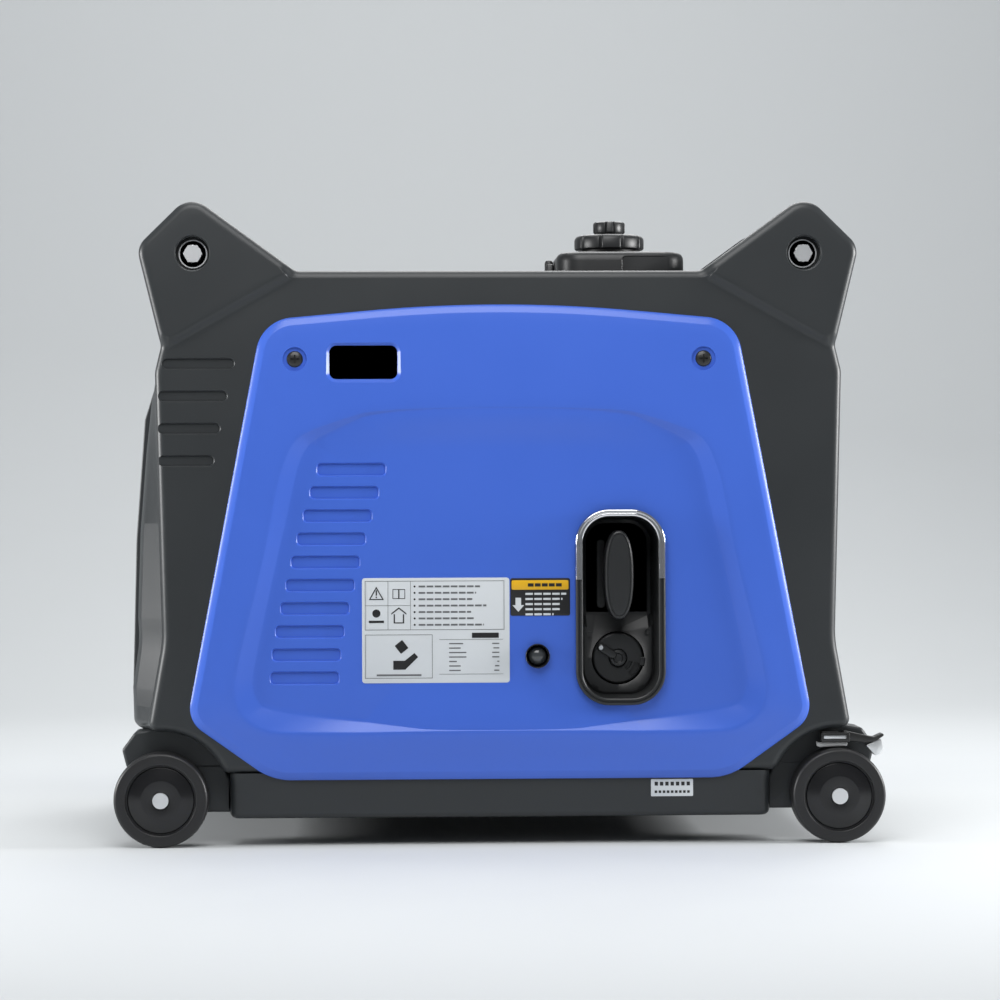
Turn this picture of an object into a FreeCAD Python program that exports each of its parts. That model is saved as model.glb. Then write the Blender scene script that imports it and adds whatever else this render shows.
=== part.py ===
import FreeCAD, Part
import os
import re
import Sketcher

# Inverter generator in a suitcase housing: +X is the control end, -X the exhaust end,
# -Y the starter side, +Z up. The origin is under the middle of the housing, on the ground.

doc = FreeCAD.newDocument("portable_generator")
sheet = doc.addObject("Spreadsheet::Sheet", "sizes")
sizes = {
    # housing: lengths along X are half lengths counted from the wheel axle line
    "wheelbase": 530.8, "half_width": 206, "body_height": 449.8,
    "shell_depth": 60, "wall": 3, "tray_bottom": 21.5, "seam_height": 57.3,
    "shoulder_inset": 106, "neck_inset": 1, "neck_drop": 58.1, "hip_outset": 4, "hip_drop": 79,
    "waist_inset": 1.6, "waist_height": 160, "skirt_outset": 11,
    "horn_peak_inset": 24.1, "horn_peak_rise": 59.7, "horn_corner_outset": 17.7, "horn_corner_rise": 18.7,
    "horn_proud": 4,
    "arch_radius": 53, "bracket_radius": 48, "bracket_depth": 34,
    # handles between the horns
    "grip_radius": 14, "grip_inset": 26, "grip_rise": 13.5, "bolt_radius": 4, "bolt_clearance": 0.2,
    "bolt_head": 13, "bolt_head_height": 5.2, "washer_radius": 11.2, "washer_height": 1.6,
    "bolt_recess_radius": 13.3, "bolt_recess_depth": 8.5, "bolt_reach": 30, "horn_boss_radius": 17,
    # wheels and brakes
    "wheel_radius": 37, "wheel_width": 28, "wheel_gap": 2, "hub_radius": 27.3, "axle_radius": 6.25,
    "running_clearance": 0.05, "axle_proud": 2, "hub_dish": 3,
    "lever_pin_radius": 2, "lever_width": 12,
    # blue panels
    "panel_proud": 5, "panel_plug": 3, "panel_ledge": 16, "panel_fit": 0.6,
    "panel_top_drop": 38.8, "panel_crown": 16.7, "crown_radius": 1200, "panel_top_inset": 79.8, "panel_low_inset": 20.6,
    "panel_low_height": 98.6, "panel_foot_inset": 86.4, "panel_foot_height": 51.7, "field_depth": 3.5,
    "vent_length": 53.3, "vent_height": 9.5, "vent_pitch": 18.1, "vent_count": 10, "vent_depth": 2.5,
    "shell_vent_height": 8.8,
    "vent_top_drop": 155.5, "grip_hole_length": 53.3, "grip_hole_height": 26.4,
    "screw_radius": 6.5, "screw_recess_radius": 9.5, "screw_spread": 160, "screw_drop": 69.3,
    # starter recess
    "recess_x": 94, "recess_z": 185.7, "recess_width": 59, "recess_height": 142, "recess_depth": 45,
    "recess_wall": 3, "flange_width": 5.7, "flange_proud": 2, "trim_height": 21.8,
    "pull_grip_width": 23.8, "pull_grip_height": 68.4, "pull_grip_thick": 24,
    "rope_radius": 2.5, "valve_drop": 41.2, "valve_knob_radius": 20, "valve_stem_radius": 4, "valve_rest_angle": 148,
    "primer_x": 28.9, "primer_z": 147.8, "primer_radius": 7.6,
    # filler on the top
    "filler_x": 101, "neck_radius": 22, "collar_length": 106, "collar_shift": 6, "collar_depth": 124, "collar_height": 28,
    "cap_radius": 29.5, "cap_height": 14, "knob_radius": 13.5, "knob_height": 12, "cap_fit": 0.4,
    # inside
    "tank_height": 92, "crank_x": -10, "crank_z": 150, "crank_radius": 12, "reel_radius": 46,
    "rotor_radius": 55, "air_gap": 0.5,
    # control end
    "plate_recess": 8, "window_low": 104, "window_high": 345, "window_half": 112,
    "outlet_z": 137, "outlet_spread": 30, "lid_size": 46,
}
for row, (name, value) in enumerate(sizes.items(), 1):
    sheet.set(f"A{row}", name)
    sheet.set(f"B{row}", str(value))
    sheet.setAlias(f"B{row}", name)
doc.recompute()

# distances used by several pieces, as expressions over the sheet
axle_x = "(wheelbase / 2)"
inner_face = "(half_width - wall)"
cover_half = "(half_width - shell_depth)"
wheel_inner = "(half_width + 8 - wheel_width)"
wheel_outer = "(half_width + 8)"
panel_face = "(half_width + panel_proud)"
grip_x = f"({axle_x} - grip_inset)"
grip_z = "(body_height + grip_rise)"
recess_floor = "(half_width + panel_proud - recess_depth)"
plate_face = f"({axle_x} - plate_recess)"
end_top = "(body_height - hip_drop - 1)"
end_rise = f"({end_top} - seam_height)"

nodes = []


def bound(text):
    """An expression with each size's name led to its cell of the sheet."""
    return re.sub(r"[a-z][a-z_]*", lambda word: "sizes." + word.group() if word.group() in sizes
                  else word.group(), str(text))


def bind(thing, **links):
    for name, text in links.items():
        thing.setExpression(name.replace("__", "."), bound(text))


def place(thing, x, y, z):
    bind(thing, Placement__Base__x=x, Placement__Base__y=y, Placement__Base__z=z)


def block(name, x, y, z):
    """A box between two planes along each axis."""
    box = doc.addObject("Part::Box", name)
    bind(box, Length=f"({x[1]}) - ({x[0]})", Width=f"({y[1]}) - ({y[0]})", Height=f"({z[1]}) - ({z[0]})")
    place(box, x[0], y[0], z[0])
    return box


turns = {"X": FreeCAD.Rotation(FreeCAD.Vector(0, 1, 0), 90), "Z": FreeCAD.Rotation(),
         "Y": FreeCAD.Rotation(FreeCAD.Vector(1, 0, 0), -90)}


def rod(name, axis, start, length, radius):
    """A cylinder from its start point along +X, +Y or +Z."""
    bar = doc.addObject("Part::Cylinder", name)
    bar.Placement.Rotation = turns[axis]
    bind(bar, Radius=radius, Height=length)
    place(bar, *start)
    return bar


def taper(name, axis, start, length, low, high):
    """A cone from its start point along +X, +Y or +Z."""
    cone = doc.addObject("Part::Cone", name)
    cone.Placement.Rotation = turns[axis]
    bind(cone, Radius1=low, Radius2=high, Height=length)
    place(cone, *start)
    return cone


def joined(name, *pieces):
    group = doc.addObject("Part::MultiFuse", name)
    group.Shapes = list(pieces)
    return group


def cut(name, base, *tools):
    tool = tools[0] if len(tools) == 1 else joined(name + "_tools", *tools)
    part = doc.addObject("Part::Cut", name)
    part.Base, part.Tool = base, tool
    return part


def common(name, first, second):
    part = doc.addObject("Part::MultiCommon", name)
    part.Shapes = [first, second]
    return part


def mirrored(name, source, normal=(0, 1, 0)):
    copy = doc.addObject("Part::Mirroring", name)
    copy.Source = source
    copy.Normal = FreeCAD.Vector(*normal)
    return copy


def node(thing, name):
    thing.Label = name
    nodes.append(thing)
    return thing


def prism(name, corners, low, high, wall=None):
    """A body along Y from low to high, with corners (x, z, round) in order. With a wall it is
    hollow, and open at high."""
    body = doc.addObject("PartDesign::Body", name)
    plane = [item for item in body.Origin.OriginFeatures if item.Role == "XZ_Plane"][0]
    sketch = body.newObject("Sketcher::SketchObject", name + "_outline")
    sketch.AttachmentSupport, sketch.MapMode = (plane, ""), "FlatFace"
    bind(sketch, AttachmentOffset__Base__z=f"-({high})")
    points = [FreeCAD.Vector(number(x), number(z), 0) for x, z, _ in corners]
    count = len(points)
    for index in range(count):
        sketch.addGeometry(Part.LineSegment(points[index], points[(index + 1) % count]), False)
    for index in range(count):
        sketch.addConstraint(Sketcher.Constraint("Coincident", index, 2, (index + 1) % count, 1))
    for index, (x, z, _) in enumerate(corners):
        for kind, text, place_value in (("DistanceX", x, points[index].x), ("DistanceY", z, points[index].y)):
            link = sketch.addConstraint(Sketcher.Constraint(kind, -1, 1, index, 1, place_value))
            sketch.setExpression(f"Constraints[{link}]", bound(text))
    pad = body.newObject("PartDesign::Pad", name + "_pad")
    pad.Profile = sketch
    bind(pad, Length=f"({high}) - ({low})")
    doc.recompute()
    last = pad
    for radius in dict.fromkeys(item[2] for item in corners if item[2]):
        spots = [points[index] for index, item in enumerate(corners) if item[2] == radius]
        edges = [f"Edge{position + 1}" for position, edge in enumerate(last.Shape.Edges)
                 if lengthwise(edge) and any(abs(edge.Vertexes[0].X - spot.x) < 1e-4
                                             and abs(edge.Vertexes[0].Z - spot.y) < 1e-4 for spot in spots)]
        round_off = body.newObject("PartDesign::Fillet", f"{name}_round")
        round_off.Base = (last, edges)
        bind(round_off, Radius=radius)
        doc.recompute()
        last = round_off
    if wall:
        far = last.Shape.BoundBox.YMax
        open_end = [f"Face{position + 1}" for position, face in enumerate(last.Shape.Faces)
                    if abs(face.BoundBox.YMin - far) < 1e-4]
        hollow = body.newObject("PartDesign::Thickness", name + "_hollow")
        hollow.Base = (last, open_end)
        hollow.Reversed, hollow.Join = True, 1
        bind(hollow, Value=wall)
        doc.recompute()
    return body


def lengthwise(edge):
    ends = edge.Vertexes
    return (len(ends) == 2 and abs(ends[0].X - ends[1].X) < 1e-6 and abs(ends[0].Z - ends[1].Z) < 1e-6)


probe = doc.addObject("Part::Box", "probe")


def number(text):
    """The value of an expression, as the document works it out."""
    probe.setExpression("Placement.Base.x", bound(text))
    probe.recompute()
    return probe.Placement.Base.x


def both_ways(right, middle=()):
    """Corners for +X mirrored to -X, so that the outline closes, with any corner on the middle line."""
    return right + list(middle) + [(f"-({x})", z, round_off) for x, z, round_off in reversed(right)]


def rounded(x, z, width, height, corner):
    """A rectangle about a centre, with rounded corners."""
    x0, x1 = f"({x}) - ({width}) / 2", f"({x}) + ({width}) / 2"
    z0, z1 = f"({z}) - ({height}) / 2", f"({z}) + ({height}) / 2"
    return [(x0, z0, corner), (x1, z0, corner), (x1, z1, corner), (x0, z1, corner)]


# Side shells: a cupped face with two horns, open to the inside.
def side_outline():
    return both_ways([
        (f"{axle_x} - shoulder_inset", "body_height", "14"),
        (f"{axle_x} - horn_peak_inset", "body_height + horn_peak_rise", "19"),
        (f"{axle_x} + horn_corner_outset", "body_height + horn_corner_rise", "14"),
        (f"{axle_x} - neck_inset", "body_height - neck_drop", "10"),
        (f"{axle_x} + hip_outset", "body_height - hip_drop", "20"),
        (f"{axle_x} - waist_inset", "waist_height", "60"),
        (f"{axle_x} + skirt_outset", "seam_height", None)])


def arches(name, low, high):
    """Round wheel openings at both ends."""
    return [rod(f"{name}_{side}", "Y", (f"{sign}{axle_x}", low, "wheel_radius"), f"({high}) - ({low})",
                "arch_radius") for side, sign in (("left", "-"), ("right", ""))]


def side_shell():
    cup = prism("shell_cup", side_outline(), "-half_width", f"-{cover_half}", wall="wall")
    backs, bosses, holes = [], [], []
    for side, sign in (("left", "-"), ("right", "")):
        backs.append(prism(f"horn_back_{side}", [
            (f"{sign}({axle_x} - shoulder_inset)", "body_height - wall / 2", None),
            (f"{sign}({axle_x} - horn_peak_inset)", "body_height + horn_peak_rise - 9", "14"),
            (f"{sign}({axle_x} + horn_corner_outset - 3)", "body_height + horn_corner_rise - 2", "10"),
            (f"{sign}({axle_x} - neck_inset - 1)", "body_height - neck_drop", None)],
            f"-{cover_half} - wall", f"-{cover_half}"))
        backs.append(prism(f"horn_pad_{side}", [
            (f"{sign}({axle_x} - shoulder_inset + 14)", "body_height + 0.6", None),
            (f"{sign}({axle_x} - horn_peak_inset)", "body_height + horn_peak_rise", "19"),
            (f"{sign}({axle_x} + horn_corner_outset)", "body_height + horn_corner_rise", "14"),
            (f"{sign}({axle_x} - neck_inset)", "body_height - neck_drop + 2", None)],
            "-half_width - horn_proud", "-half_width + wall / 2"))
        at = (f"{sign}{grip_x}", "-half_width", grip_z)
        bosses.append(rod(f"horn_boss_{side}", "Y", at, "shell_depth", "horn_boss_radius"))
        holes.append(rod(f"bolt_recess_{side}", "Y", (f"{sign}{grip_x}", "-half_width - horn_proud", grip_z),
                         "horn_proud + bolt_recess_depth", "bolt_recess_radius"))
        holes.append(rod(f"bolt_hole_{side}", "Y", at, "shell_depth", "bolt_radius + bolt_clearance"))
    backs.append(prism("exhaust_fairing", [
        (f"-{axle_x} - 2 + 2 * wall", "seam_height + 32", None), (f"-{axle_x} - 12", "seam_height + 34", "6"),
        (f"-{axle_x} - 23", f"seam_height + 0.23264 * {end_rise}", "20"),
        (f"-{axle_x} - 19", f"seam_height + 0.58464 * {end_rise}", "20"),
        (f"-{axle_x} - 12", f"seam_height + 0.88864 * {end_rise}", "12"),
        (f"-{axle_x} - 2", f"{end_top}", None), (f"-{axle_x} - 2 + 2 * wall", f"{end_top}", None)],
        f"-{cover_half} - 24", f"-{cover_half}", wall="wall"))
    liners = [rod(f"arch_liner_{side}", "Y", (f"{sign}{axle_x}", "-half_width", "wheel_radius"),
                  "shell_depth", "arch_radius + wall") for side, sign in (("left", "-"), ("right", ""))]
    solid = prism("shell_block", side_outline(), "-half_width", f"-{cover_half}")
    lined = common("arch_walls", joined("arch_liners", *liners), solid)
    whole = joined("shell_whole", cup, lined, *backs, *bosses)
    window = prism("panel_window", panel_outline("panel_ledge"), "-half_width - 1", f"-{inner_face} + 1")
    vents = []
    for index, (left_end, length) in enumerate(((1.4, 57.1), (0.2, 52.6), (0.2, 47), (0.2, 42.1))):
        vents.append(prism(f"shell_vent_{index}", rounded(
            f"-{axle_x} + {left_end} + {length} / 2", f"body_height - 72.6 - 25.2 * {index}", length,
            "shell_vent_height", "4"), "-half_width - 1", "-half_width + 2"))
    return cut("near_shell", whole, window, *holes, *arches("shell_arch", "-half_width - 1",
               f"-{cover_half} + 1"), *vents)


def panel_outline(inset="0"):
    """The blue panel's outline, drawn in by a distance."""
    return both_ways([
        (f"{axle_x} - panel_foot_inset - 0.4 * ({inset})", f"panel_foot_height + ({inset})", "25"),
        (f"{axle_x} - panel_low_inset - ({inset})", f"panel_low_height + 0.5 * ({inset})", "12"),
        (f"{axle_x} - panel_top_inset - 1.2 * ({inset})", f"body_height - panel_top_drop - ({inset})", "28")],
        [("0", f"body_height - panel_top_drop + panel_crown - ({inset})", "crown_radius")])


def service_panel(name, with_recess):
    face, back = f"-{panel_face}", "-half_width"
    plate = prism(f"{name}_plate", panel_outline(), face, back)
    plug = prism(f"{name}_plug", panel_outline("panel_ledge + panel_fit"), back, "-half_width + panel_plug")
    field = prism(f"{name}_field", [
        ("-150", "100", "20"), ("150", "100", "20"), (f"{axle_x} - 63", "125", "12"),
        (f"{axle_x} - 98", "body_height - 125", "24"), ("120", "body_height - 95", None),
        ("-120", "body_height - 95", None), (f"-{axle_x} + 98", "body_height - 125", "24"),
        (f"-{axle_x} + 63", "125", "12")], f"{face} - 1", f"{face} + field_depth")
    tools = [field]
    for index in range(sizes["vent_count"]):
        tools.append(prism(f"{name}_vent_{index}", rounded(
            f"-({axle_x} - 149.2) - 4.1 * {index}", f"body_height - vent_top_drop - vent_pitch * {index}",
            "vent_length", "vent_height", "3"), f"{face} - 1", f"{face} + field_depth + vent_depth"))
    tools.append(prism(f"{name}_finger_hole", rounded(
        "-106.5", "body_height - 71.8", "grip_hole_length", "grip_hole_height", "5.5"), f"{face} - 1", "0"))
    for side in ("-", ""):
        at = (f"{side}screw_spread", face, "body_height - screw_drop")
        tools.append(rod(f"{name}_screw_seat", "Y", at, "3", "screw_recess_radius"))
        tools.append(rod(f"{name}_screw_hole", "Y", at, "20", "screw_radius / 2 + 0.2"))
    if with_recess:
        tools.append(prism(f"{name}_recess_hole", rounded(
            "recess_x", "recess_z", "recess_width + 2 * recess_wall + 1",
            "recess_height + 2 * recess_wall + 1", "24"), f"{face} - 1", "0"))
        tools.append(rod(f"{name}_primer_hole", "Y", ("primer_x", f"{face} - 1", "primer_z"), "20",
                         "primer_radius + 1.5"))
    return cut(name + "_cut", joined(f"{name}_blank", plate, plug), *tools)



def screw_tabs():
    """Tabs behind the shell's face, which the panel screws bite into."""
    tabs = []
    for side, sign in (("left", "-"), ("right", "")):
        tab = block(f"screw_tab_{side}", (f"{sign}screw_spread - 8", f"{sign}screw_spread + 8"),
                    (f"-{inner_face}", f"-{inner_face} + 10"),
                    ("body_height - screw_drop - 8", "body_height - wall"))
        at = (f"{sign}screw_spread", f"-{inner_face} - 1", "body_height - screw_drop")
        tabs.append(cut(f"screw_tab_bored_{side}", tab, rod(f"screw_pilot_{side}", "Y", at, "12",
                                                            "screw_radius / 2")))
    return tabs


near_shell = node(joined("near_shell_tabbed", side_shell(), *screw_tabs()), "near_side_shell")
node(mirrored("far_shell", near_shell), "far_side_shell")
node(service_panel("near_panel", True), "near_service_panel")
node(mirrored("far_panel_turned", service_panel("far_panel", False)), "far_service_panel")


def all_corners(name, near_piece):
    """Copies of a piece at the near left corner, made for the other corners."""
    far_piece = mirrored(f"{name}_far", near_piece)
    pair = joined(f"{name}_pair", near_piece, far_piece)
    return pair, mirrored(f"{name}_right", pair, (1, 0, 0))


# Base tray with a bracket behind each wheel.
def base_tray():
    side = f"{axle_x} - 53.4"
    face = "half_width - 1.5"
    outer = block("tray_outer", (f"-({side})", side), (f"-({face})", face), ("tray_bottom", "seam_height"))
    inner = block("tray_inner", (f"-({side}) + wall", f"{side} - wall"),
                  (f"-({face}) + wall", f"{face} - wall"), ("tray_bottom + wall", "seam_height + 1"))
    drains = [block(f"tray_drain_{index}", (f"{index} * 60 - 15", f"{index} * 60 + 15"), ("-4", "4"),
                    ("tray_bottom - 1", "tray_bottom + wall + 1")) for index in (-2, -1, 1, 2)]
    back = f"-({wheel_inner} - wheel_gap)"
    disc = rod("bracket_disc", "Y", (f"-{axle_x}", back, "wheel_radius"), "bracket_depth", "bracket_radius")
    keep = block("bracket_keep", (f"-{axle_x} - 12", f"-{axle_x} + 60"), (back, f"{back} + bracket_depth"),
                 ("0", "wheel_radius + 60"))
    disc = common("bracket_plate", disc, keep)
    arm = block("bracket_arm", (f"-{axle_x}", f"-({side})"), (back, f"{back} + bracket_depth"),
                ("tray_bottom", "seam_height - 1"))
    flare = prism("bracket_flare", [
        (f"-{axle_x} - 5", "wheel_radius + 43", None), (f"-{axle_x} - 22.4", "wheel_radius + 51", "3"),
        (f"-{axle_x} - 31.8", "wheel_radius + 38", "4"), (f"-{axle_x} - 28.6", "wheel_radius + 24.6", "3"),
        (f"-{axle_x} - 12", "wheel_radius + 3", None)], back, f"{back} + bracket_depth")
    above = block("bracket_above", (f"-{axle_x} - 60", f"-({side})"), (f"{back} - 1", "0"),
                  ("tray_bottom + 3.7", "wheel_radius + 60"))
    bracket = common("bracket_trimmed", joined("bracket_whole", disc, arm, flare), above)
    bored = cut("bracket_bored", bracket, rod("bracket_bore", "Y", (f"-{axle_x}", f"{back} - 1",
                "wheel_radius"), "bracket_depth - 8", "axle_radius"))
    shelves = [block(f"tray_shelf_{name}", span, (f"-{cover_half}", cover_half),
                     ("seam_height - wall", "seam_height")) for name, span in
               (("left", (f"-{axle_x} - 10.6", f"-({side}) + 1")), ("right", (f"{side} - 1", f"{axle_x} + 3")))]
    return joined("tray_whole", cut("tray_body", outer, inner, *drains), *shelves,
                  *all_corners("bracket", bored))


# Roof between the side shells, with the filler's hole.
def roof_outline(skin):
    return both_ways([(f"{axle_x} + hip_outset - ({skin})", f"body_height - hip_drop - 0.2 * ({skin})", None),
                      (f"{axle_x} - neck_inset - ({skin})", f"body_height - neck_drop - 0.2 * ({skin})", None),
                      (f"{axle_x} - shoulder_inset - 0.3 * ({skin})", f"body_height - ({skin})", None)])


def top_cover():
    outer = prism("roof_outer", roof_outline("0"), f"-{cover_half}", cover_half)
    inner = prism("roof_inner", roof_outline("wall"), f"-{cover_half} - 1", f"{cover_half} + 1")
    hole = rod("roof_hole", "Z", ("filler_x", "0", "body_height - 10"), "20", "neck_radius + wall + 3")
    return cut("roof_cut", outer, inner, hole)


def end_cover(name, outline, hollow, *openings):
    """A cover between the side shells, hollow and open to the inside."""
    outer = prism(f"{name}_outer", outline, f"-{cover_half}", cover_half)
    inner = prism(f"{name}_inner", hollow, f"-{cover_half} + wall", f"{cover_half} - wall")
    return cut(f"{name}_cut", outer, inner, *openings)


def exhaust_cover():
    def outline(skin):
        return [(f"-{axle_x} + 8 + ({skin})", f"seam_height + ({skin})", None),
                (f"-{axle_x} - 10.6 + ({skin})", f"seam_height + ({skin})", None),
                (f"-{axle_x} - 25.6 + ({skin})", f"seam_height + 0.20064 * {end_rise}", "20"),
                (f"-{axle_x} - 22.6 + ({skin})", f"seam_height + 0.58464 * {end_rise}", "20"),
                (f"-{axle_x} - 15.6 + ({skin})", f"seam_height + 0.88864 * {end_rise}", "12"),
                (f"-{axle_x} - 4.6 + ({skin})", f"{end_top} - ({skin})", None),
                (f"-{axle_x} + 8 + ({skin})", f"{end_top} - ({skin})", None)]
    slots = [block(f"louvre_{index}", (f"-{axle_x} - 40", f"-{axle_x} + 12"), ("-105", "25"),
                   (f"124 + 14 * {index}", f"130.5 + 14 * {index}")) for index in range(13)]
    outlet = rod("outlet_hole", "X", (f"-{axle_x} - 40", "75", "150"), "60", "24")
    return end_cover("exhaust_end", outline("0"), outline("wall"), *slots, outlet)


def control_cover():
    def outline(skin):
        return [(f"{axle_x} - 8 - ({skin})", f"seam_height + ({skin})", None),
                (f"{axle_x} - 8 - ({skin})", f"{end_top} - ({skin})", None),
                (f"{axle_x} + 3 - ({skin})", f"{end_top} - ({skin})", None),
                (f"{axle_x} + 3 - ({skin})", f"seam_height + ({skin})", None)]
    window = block("control_window", (f"{axle_x} - 20", f"{axle_x} + 10"), ("-window_half", "window_half"),
                   ("window_low", "window_high"))
    slots = [block(f"intake_{index}", (f"{axle_x} - 5", f"{axle_x} + 10"), ("-100", "100"),
                   (f"67 + 11 * {index}", f"72 + 11 * {index}")) for index in range(3)]
    return end_cover("control_end", outline("0"), outline("wall"), window, *slots)


node(base_tray(), "base_tray")
node(top_cover(), "top_cover")
node(exhaust_cover(), "exhaust_end_cover")
node(control_cover(), "control_end_cover")

# Handles, one bar between the horns at each end, held by a bolt in each horn.
bolts = []
for side, sign in (("left", "-"), ("right", "")):
    bar = rod(f"{side}_bar", "Y", (f"{sign}{grip_x}", f"-{cover_half}", grip_z), f"2 * {cover_half}",
              "grip_radius")
    bores = [rod(f"{side}_bar_bore_{end}", "Y", (f"{sign}{grip_x}", start, grip_z), "bolt_reach",
                 "bolt_radius + running_clearance") for end, start in (("near", f"-{cover_half}"),
                                                   ("far", f"{cover_half} - bolt_reach"))]
    node(cut(f"{side}_bar_cut", bar, *bores), f"{side}_handle")
    seat = "(half_width - bolt_recess_depth)"
    shank = rod(f"{side}_shank", "Y", (f"{sign}{grip_x}", f"-{seat}", grip_z),
                f"{seat} - {cover_half} + bolt_reach - 2", "bolt_radius")
    washer = rod(f"{side}_washer", "Y", (f"{sign}{grip_x}", f"-{seat} - washer_height", grip_z),
                 "washer_height", "washer_radius")
    head = doc.addObject("Part::Prism", f"{side}_head")
    head.Polygon, head.Placement.Rotation = 6, turns["Y"]
    bind(head, Circumradius="bolt_head / 1.732", Height="bolt_head_height")
    place(head, f"{sign}{grip_x}", f"-{seat} - washer_height - bolt_head_height", grip_z)
    bolt = joined(f"{side}_bolt", shank, washer, head)
    bolts += [bolt, mirrored(f"{side}_bolt_far", bolt)]
node(joined("bolts_group", *bolts), "handle_bolts")

# Wheels, their axle bolts and the brakes at the control end.
axles = []
for end, flip in (("near", "-"), ("far", "")):
    for side, sign in (("left", "-"), ("right", "")):
        name = f"{end}_{side}"
        low = f"-{wheel_outer}" if flip else wheel_inner
        middle = (f"{sign}{axle_x}", low, "wheel_radius")
        ring = rod(f"{name}_ring", "Y", middle, "wheel_width", "wheel_radius")
        node(cut(f"{name}_ring_cut", ring, rod(f"{name}_ring_bore", "Y", middle, "wheel_width",
                 "hub_radius")), f"{name}_tyre")
        inner = (f"{sign}{axle_x}", f"{low} + hub_dish" if flip else low, "wheel_radius")
        drum = rod(f"{name}_drum", "Y", inner, "wheel_width - hub_dish", "hub_radius")
        tip = (f"{sign}{axle_x}", low if flip else f"{low} + wheel_width - hub_dish", "wheel_radius")
        cone = taper(f"{name}_cone", "Y", tip, "hub_dish", *(("hub_radius - 10", "hub_radius") if flip
                                                            else ("hub_radius", "hub_radius - 10")))
        node(cut(f"{name}_hub_cut", joined(f"{name}_hub_solid", drum, cone),
                 rod(f"{name}_hub_bore", "Y", middle, "wheel_width", "axle_radius + running_clearance")),
             f"{name}_wheel")
    left = rod(f"{end}_axle", "Y", (f"-{axle_x}", f"-({wheel_outer} + axle_proud)" if flip else
               f"{wheel_inner} - wheel_gap - 20", "wheel_radius"),
               "wheel_width + axle_proud + wheel_gap + 20", "axle_radius")
    axles += [left, mirrored(f"{end}_axle_right", left, (1, 0, 0))]
node(joined("axles_group", *axles), "axle_bolts")

lever_pin = (f"{axle_x} + 6", f"-({wheel_inner} - wheel_gap) - lever_width - 7", "wheel_radius + 46.5")
pin = rod("lever_pin", "Y", lever_pin, "lever_width + 7", "lever_pin_radius")
box = block("brake_box", (f"{axle_x} - 12", f"{axle_x} + 1"),
            (f"-({wheel_inner} - wheel_gap) - 20", f"-({wheel_inner} - wheel_gap)"),
            ("wheel_radius + 41.5", "wheel_radius + 50.5"))
strap = block("brake_strap", (f"{axle_x} - 12", f"{axle_x} + 8"),
              (f"-({wheel_inner} - wheel_gap) - lever_width - 7", f"-({wheel_inner} - wheel_gap) - lever_width - 5.5"),
              ("wheel_radius + 44", "wheel_radius + 49"))
near_brake = joined("near_brake", pin, box, strap)
node(joined("brake_group", near_brake, mirrored("far_brake", near_brake)), "brake_brackets")
lever_y = (f"-({wheel_inner} - wheel_gap) - lever_width - 4.5", f"-({wheel_inner} - wheel_gap) - 4.5")


def near_lever():
    arm = prism("lever_arm", [(f"{axle_x} + {x}", f"wheel_radius + {z}", r) for x, z, r in (
        (4, 42.5, None), (4, 50.5, None), (20, 47, None), (29, 45, None), (36.8, 48.5, None),
        (36.8, 46, None), (33, 41, None), (22, 40.5, None))], *lever_y)
    shoe = prism("lever_shoe", [(f"{axle_x} + {x}", f"wheel_radius + {z}", None) for x, z in (
        (23, 38.5), (29.4, 41.5), (36, 43.5), (36.5, 36), (33.5, 31.5), (30.5, 30))], *lever_y)
    bore = rod("lever_bore", "Y", lever_pin, "lever_width + 7", "lever_pin_radius + running_clearance")
    return cut("lever_cut", joined("lever_solid", arm, shoe), bore)


lever = node(near_lever(), "near_brake_lever")
node(mirrored("far_lever", lever), "far_brake_lever")

# Starter recess, its trim, the pull grip, and the fuel valve under it.
rim = "(half_width + panel_proud)"
cup = prism("recess_cup", rounded("recess_x", "recess_z", "recess_width + 2 * recess_wall",
            "recess_height + 2 * recess_wall", "23"), f"-{rim}", f"-{recess_floor} + recess_wall")
flange = prism("recess_flange", rounded("recess_x", "recess_z", "recess_width + 2 * flange_width",
               "recess_height + 2 * flange_width", "26"), f"-{rim} - flange_proud", f"-{rim}")
cavity = prism("recess_cavity", rounded("recess_x", "recess_z", "recess_width", "recess_height", "20"),
               f"-{rim} - 5", f"-{recess_floor}")
boss = rod("rope_guide", "Y", ("recess_x - 1", f"-{recess_floor} - 7", "recess_z + 25.3"), "7", "8")
rope_hole = rod("rope_hole", "Y", ("recess_x - 1", f"-{recess_floor} - 9", "recess_z + 25.3"), "30",
                "rope_radius + 0.6")
stem_hole = rod("stem_hole", "Y", ("recess_x", f"-{recess_floor} - 1", "recess_z - valve_drop"), "10",
                "valve_stem_radius + running_clearance")
node(cut("recess_cut", joined("recess_solid", cut("recess_hollow", joined("recess_blank", cup, flange),
     cavity), boss), rope_hole, stem_hole), "starter_recess")
trim_outer = prism("trim_outer", rounded("recess_x", "recess_z", "recess_width + 2 * flange_width - 1",
                   "recess_height + 2 * flange_width - 1", "25"), f"-{rim} - flange_proud - 1",
                   f"-{rim} - flange_proud")
trim_inner = prism("trim_inner", rounded("recess_x", "recess_z", "recess_width + flange_width",
                   "recess_height + flange_width", "23"), f"-{rim} - 5", f"-{rim}")
trim_below = block("trim_below", ("recess_x - 60", "recess_x + 60"), (f"-{rim} - 5", f"-{rim}"),
                   ("recess_z - 100", "recess_z + trim_height"))
node(cut("trim_cut", trim_outer, trim_inner, trim_below), "recess_trim")
grip_back = f"(-{rim} - 1 + pull_grip_thick)"
node(prism("pull_grip", rounded("recess_x - 1", "recess_z + 25.3", "pull_grip_width", "pull_grip_height",
           "11.5"), f"-{rim} - 1", grip_back), "starter_grip")
node(rod("pull_rope", "Y", ("recess_x - 1", grip_back, "recess_z + 25.3"),
         f"-({recess_floor}) + 20 - {grip_back}", "rope_radius"), "starter_rope")
knob_at = ("recess_x", f"-{recess_floor} - 22", "recess_z - valve_drop")
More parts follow.
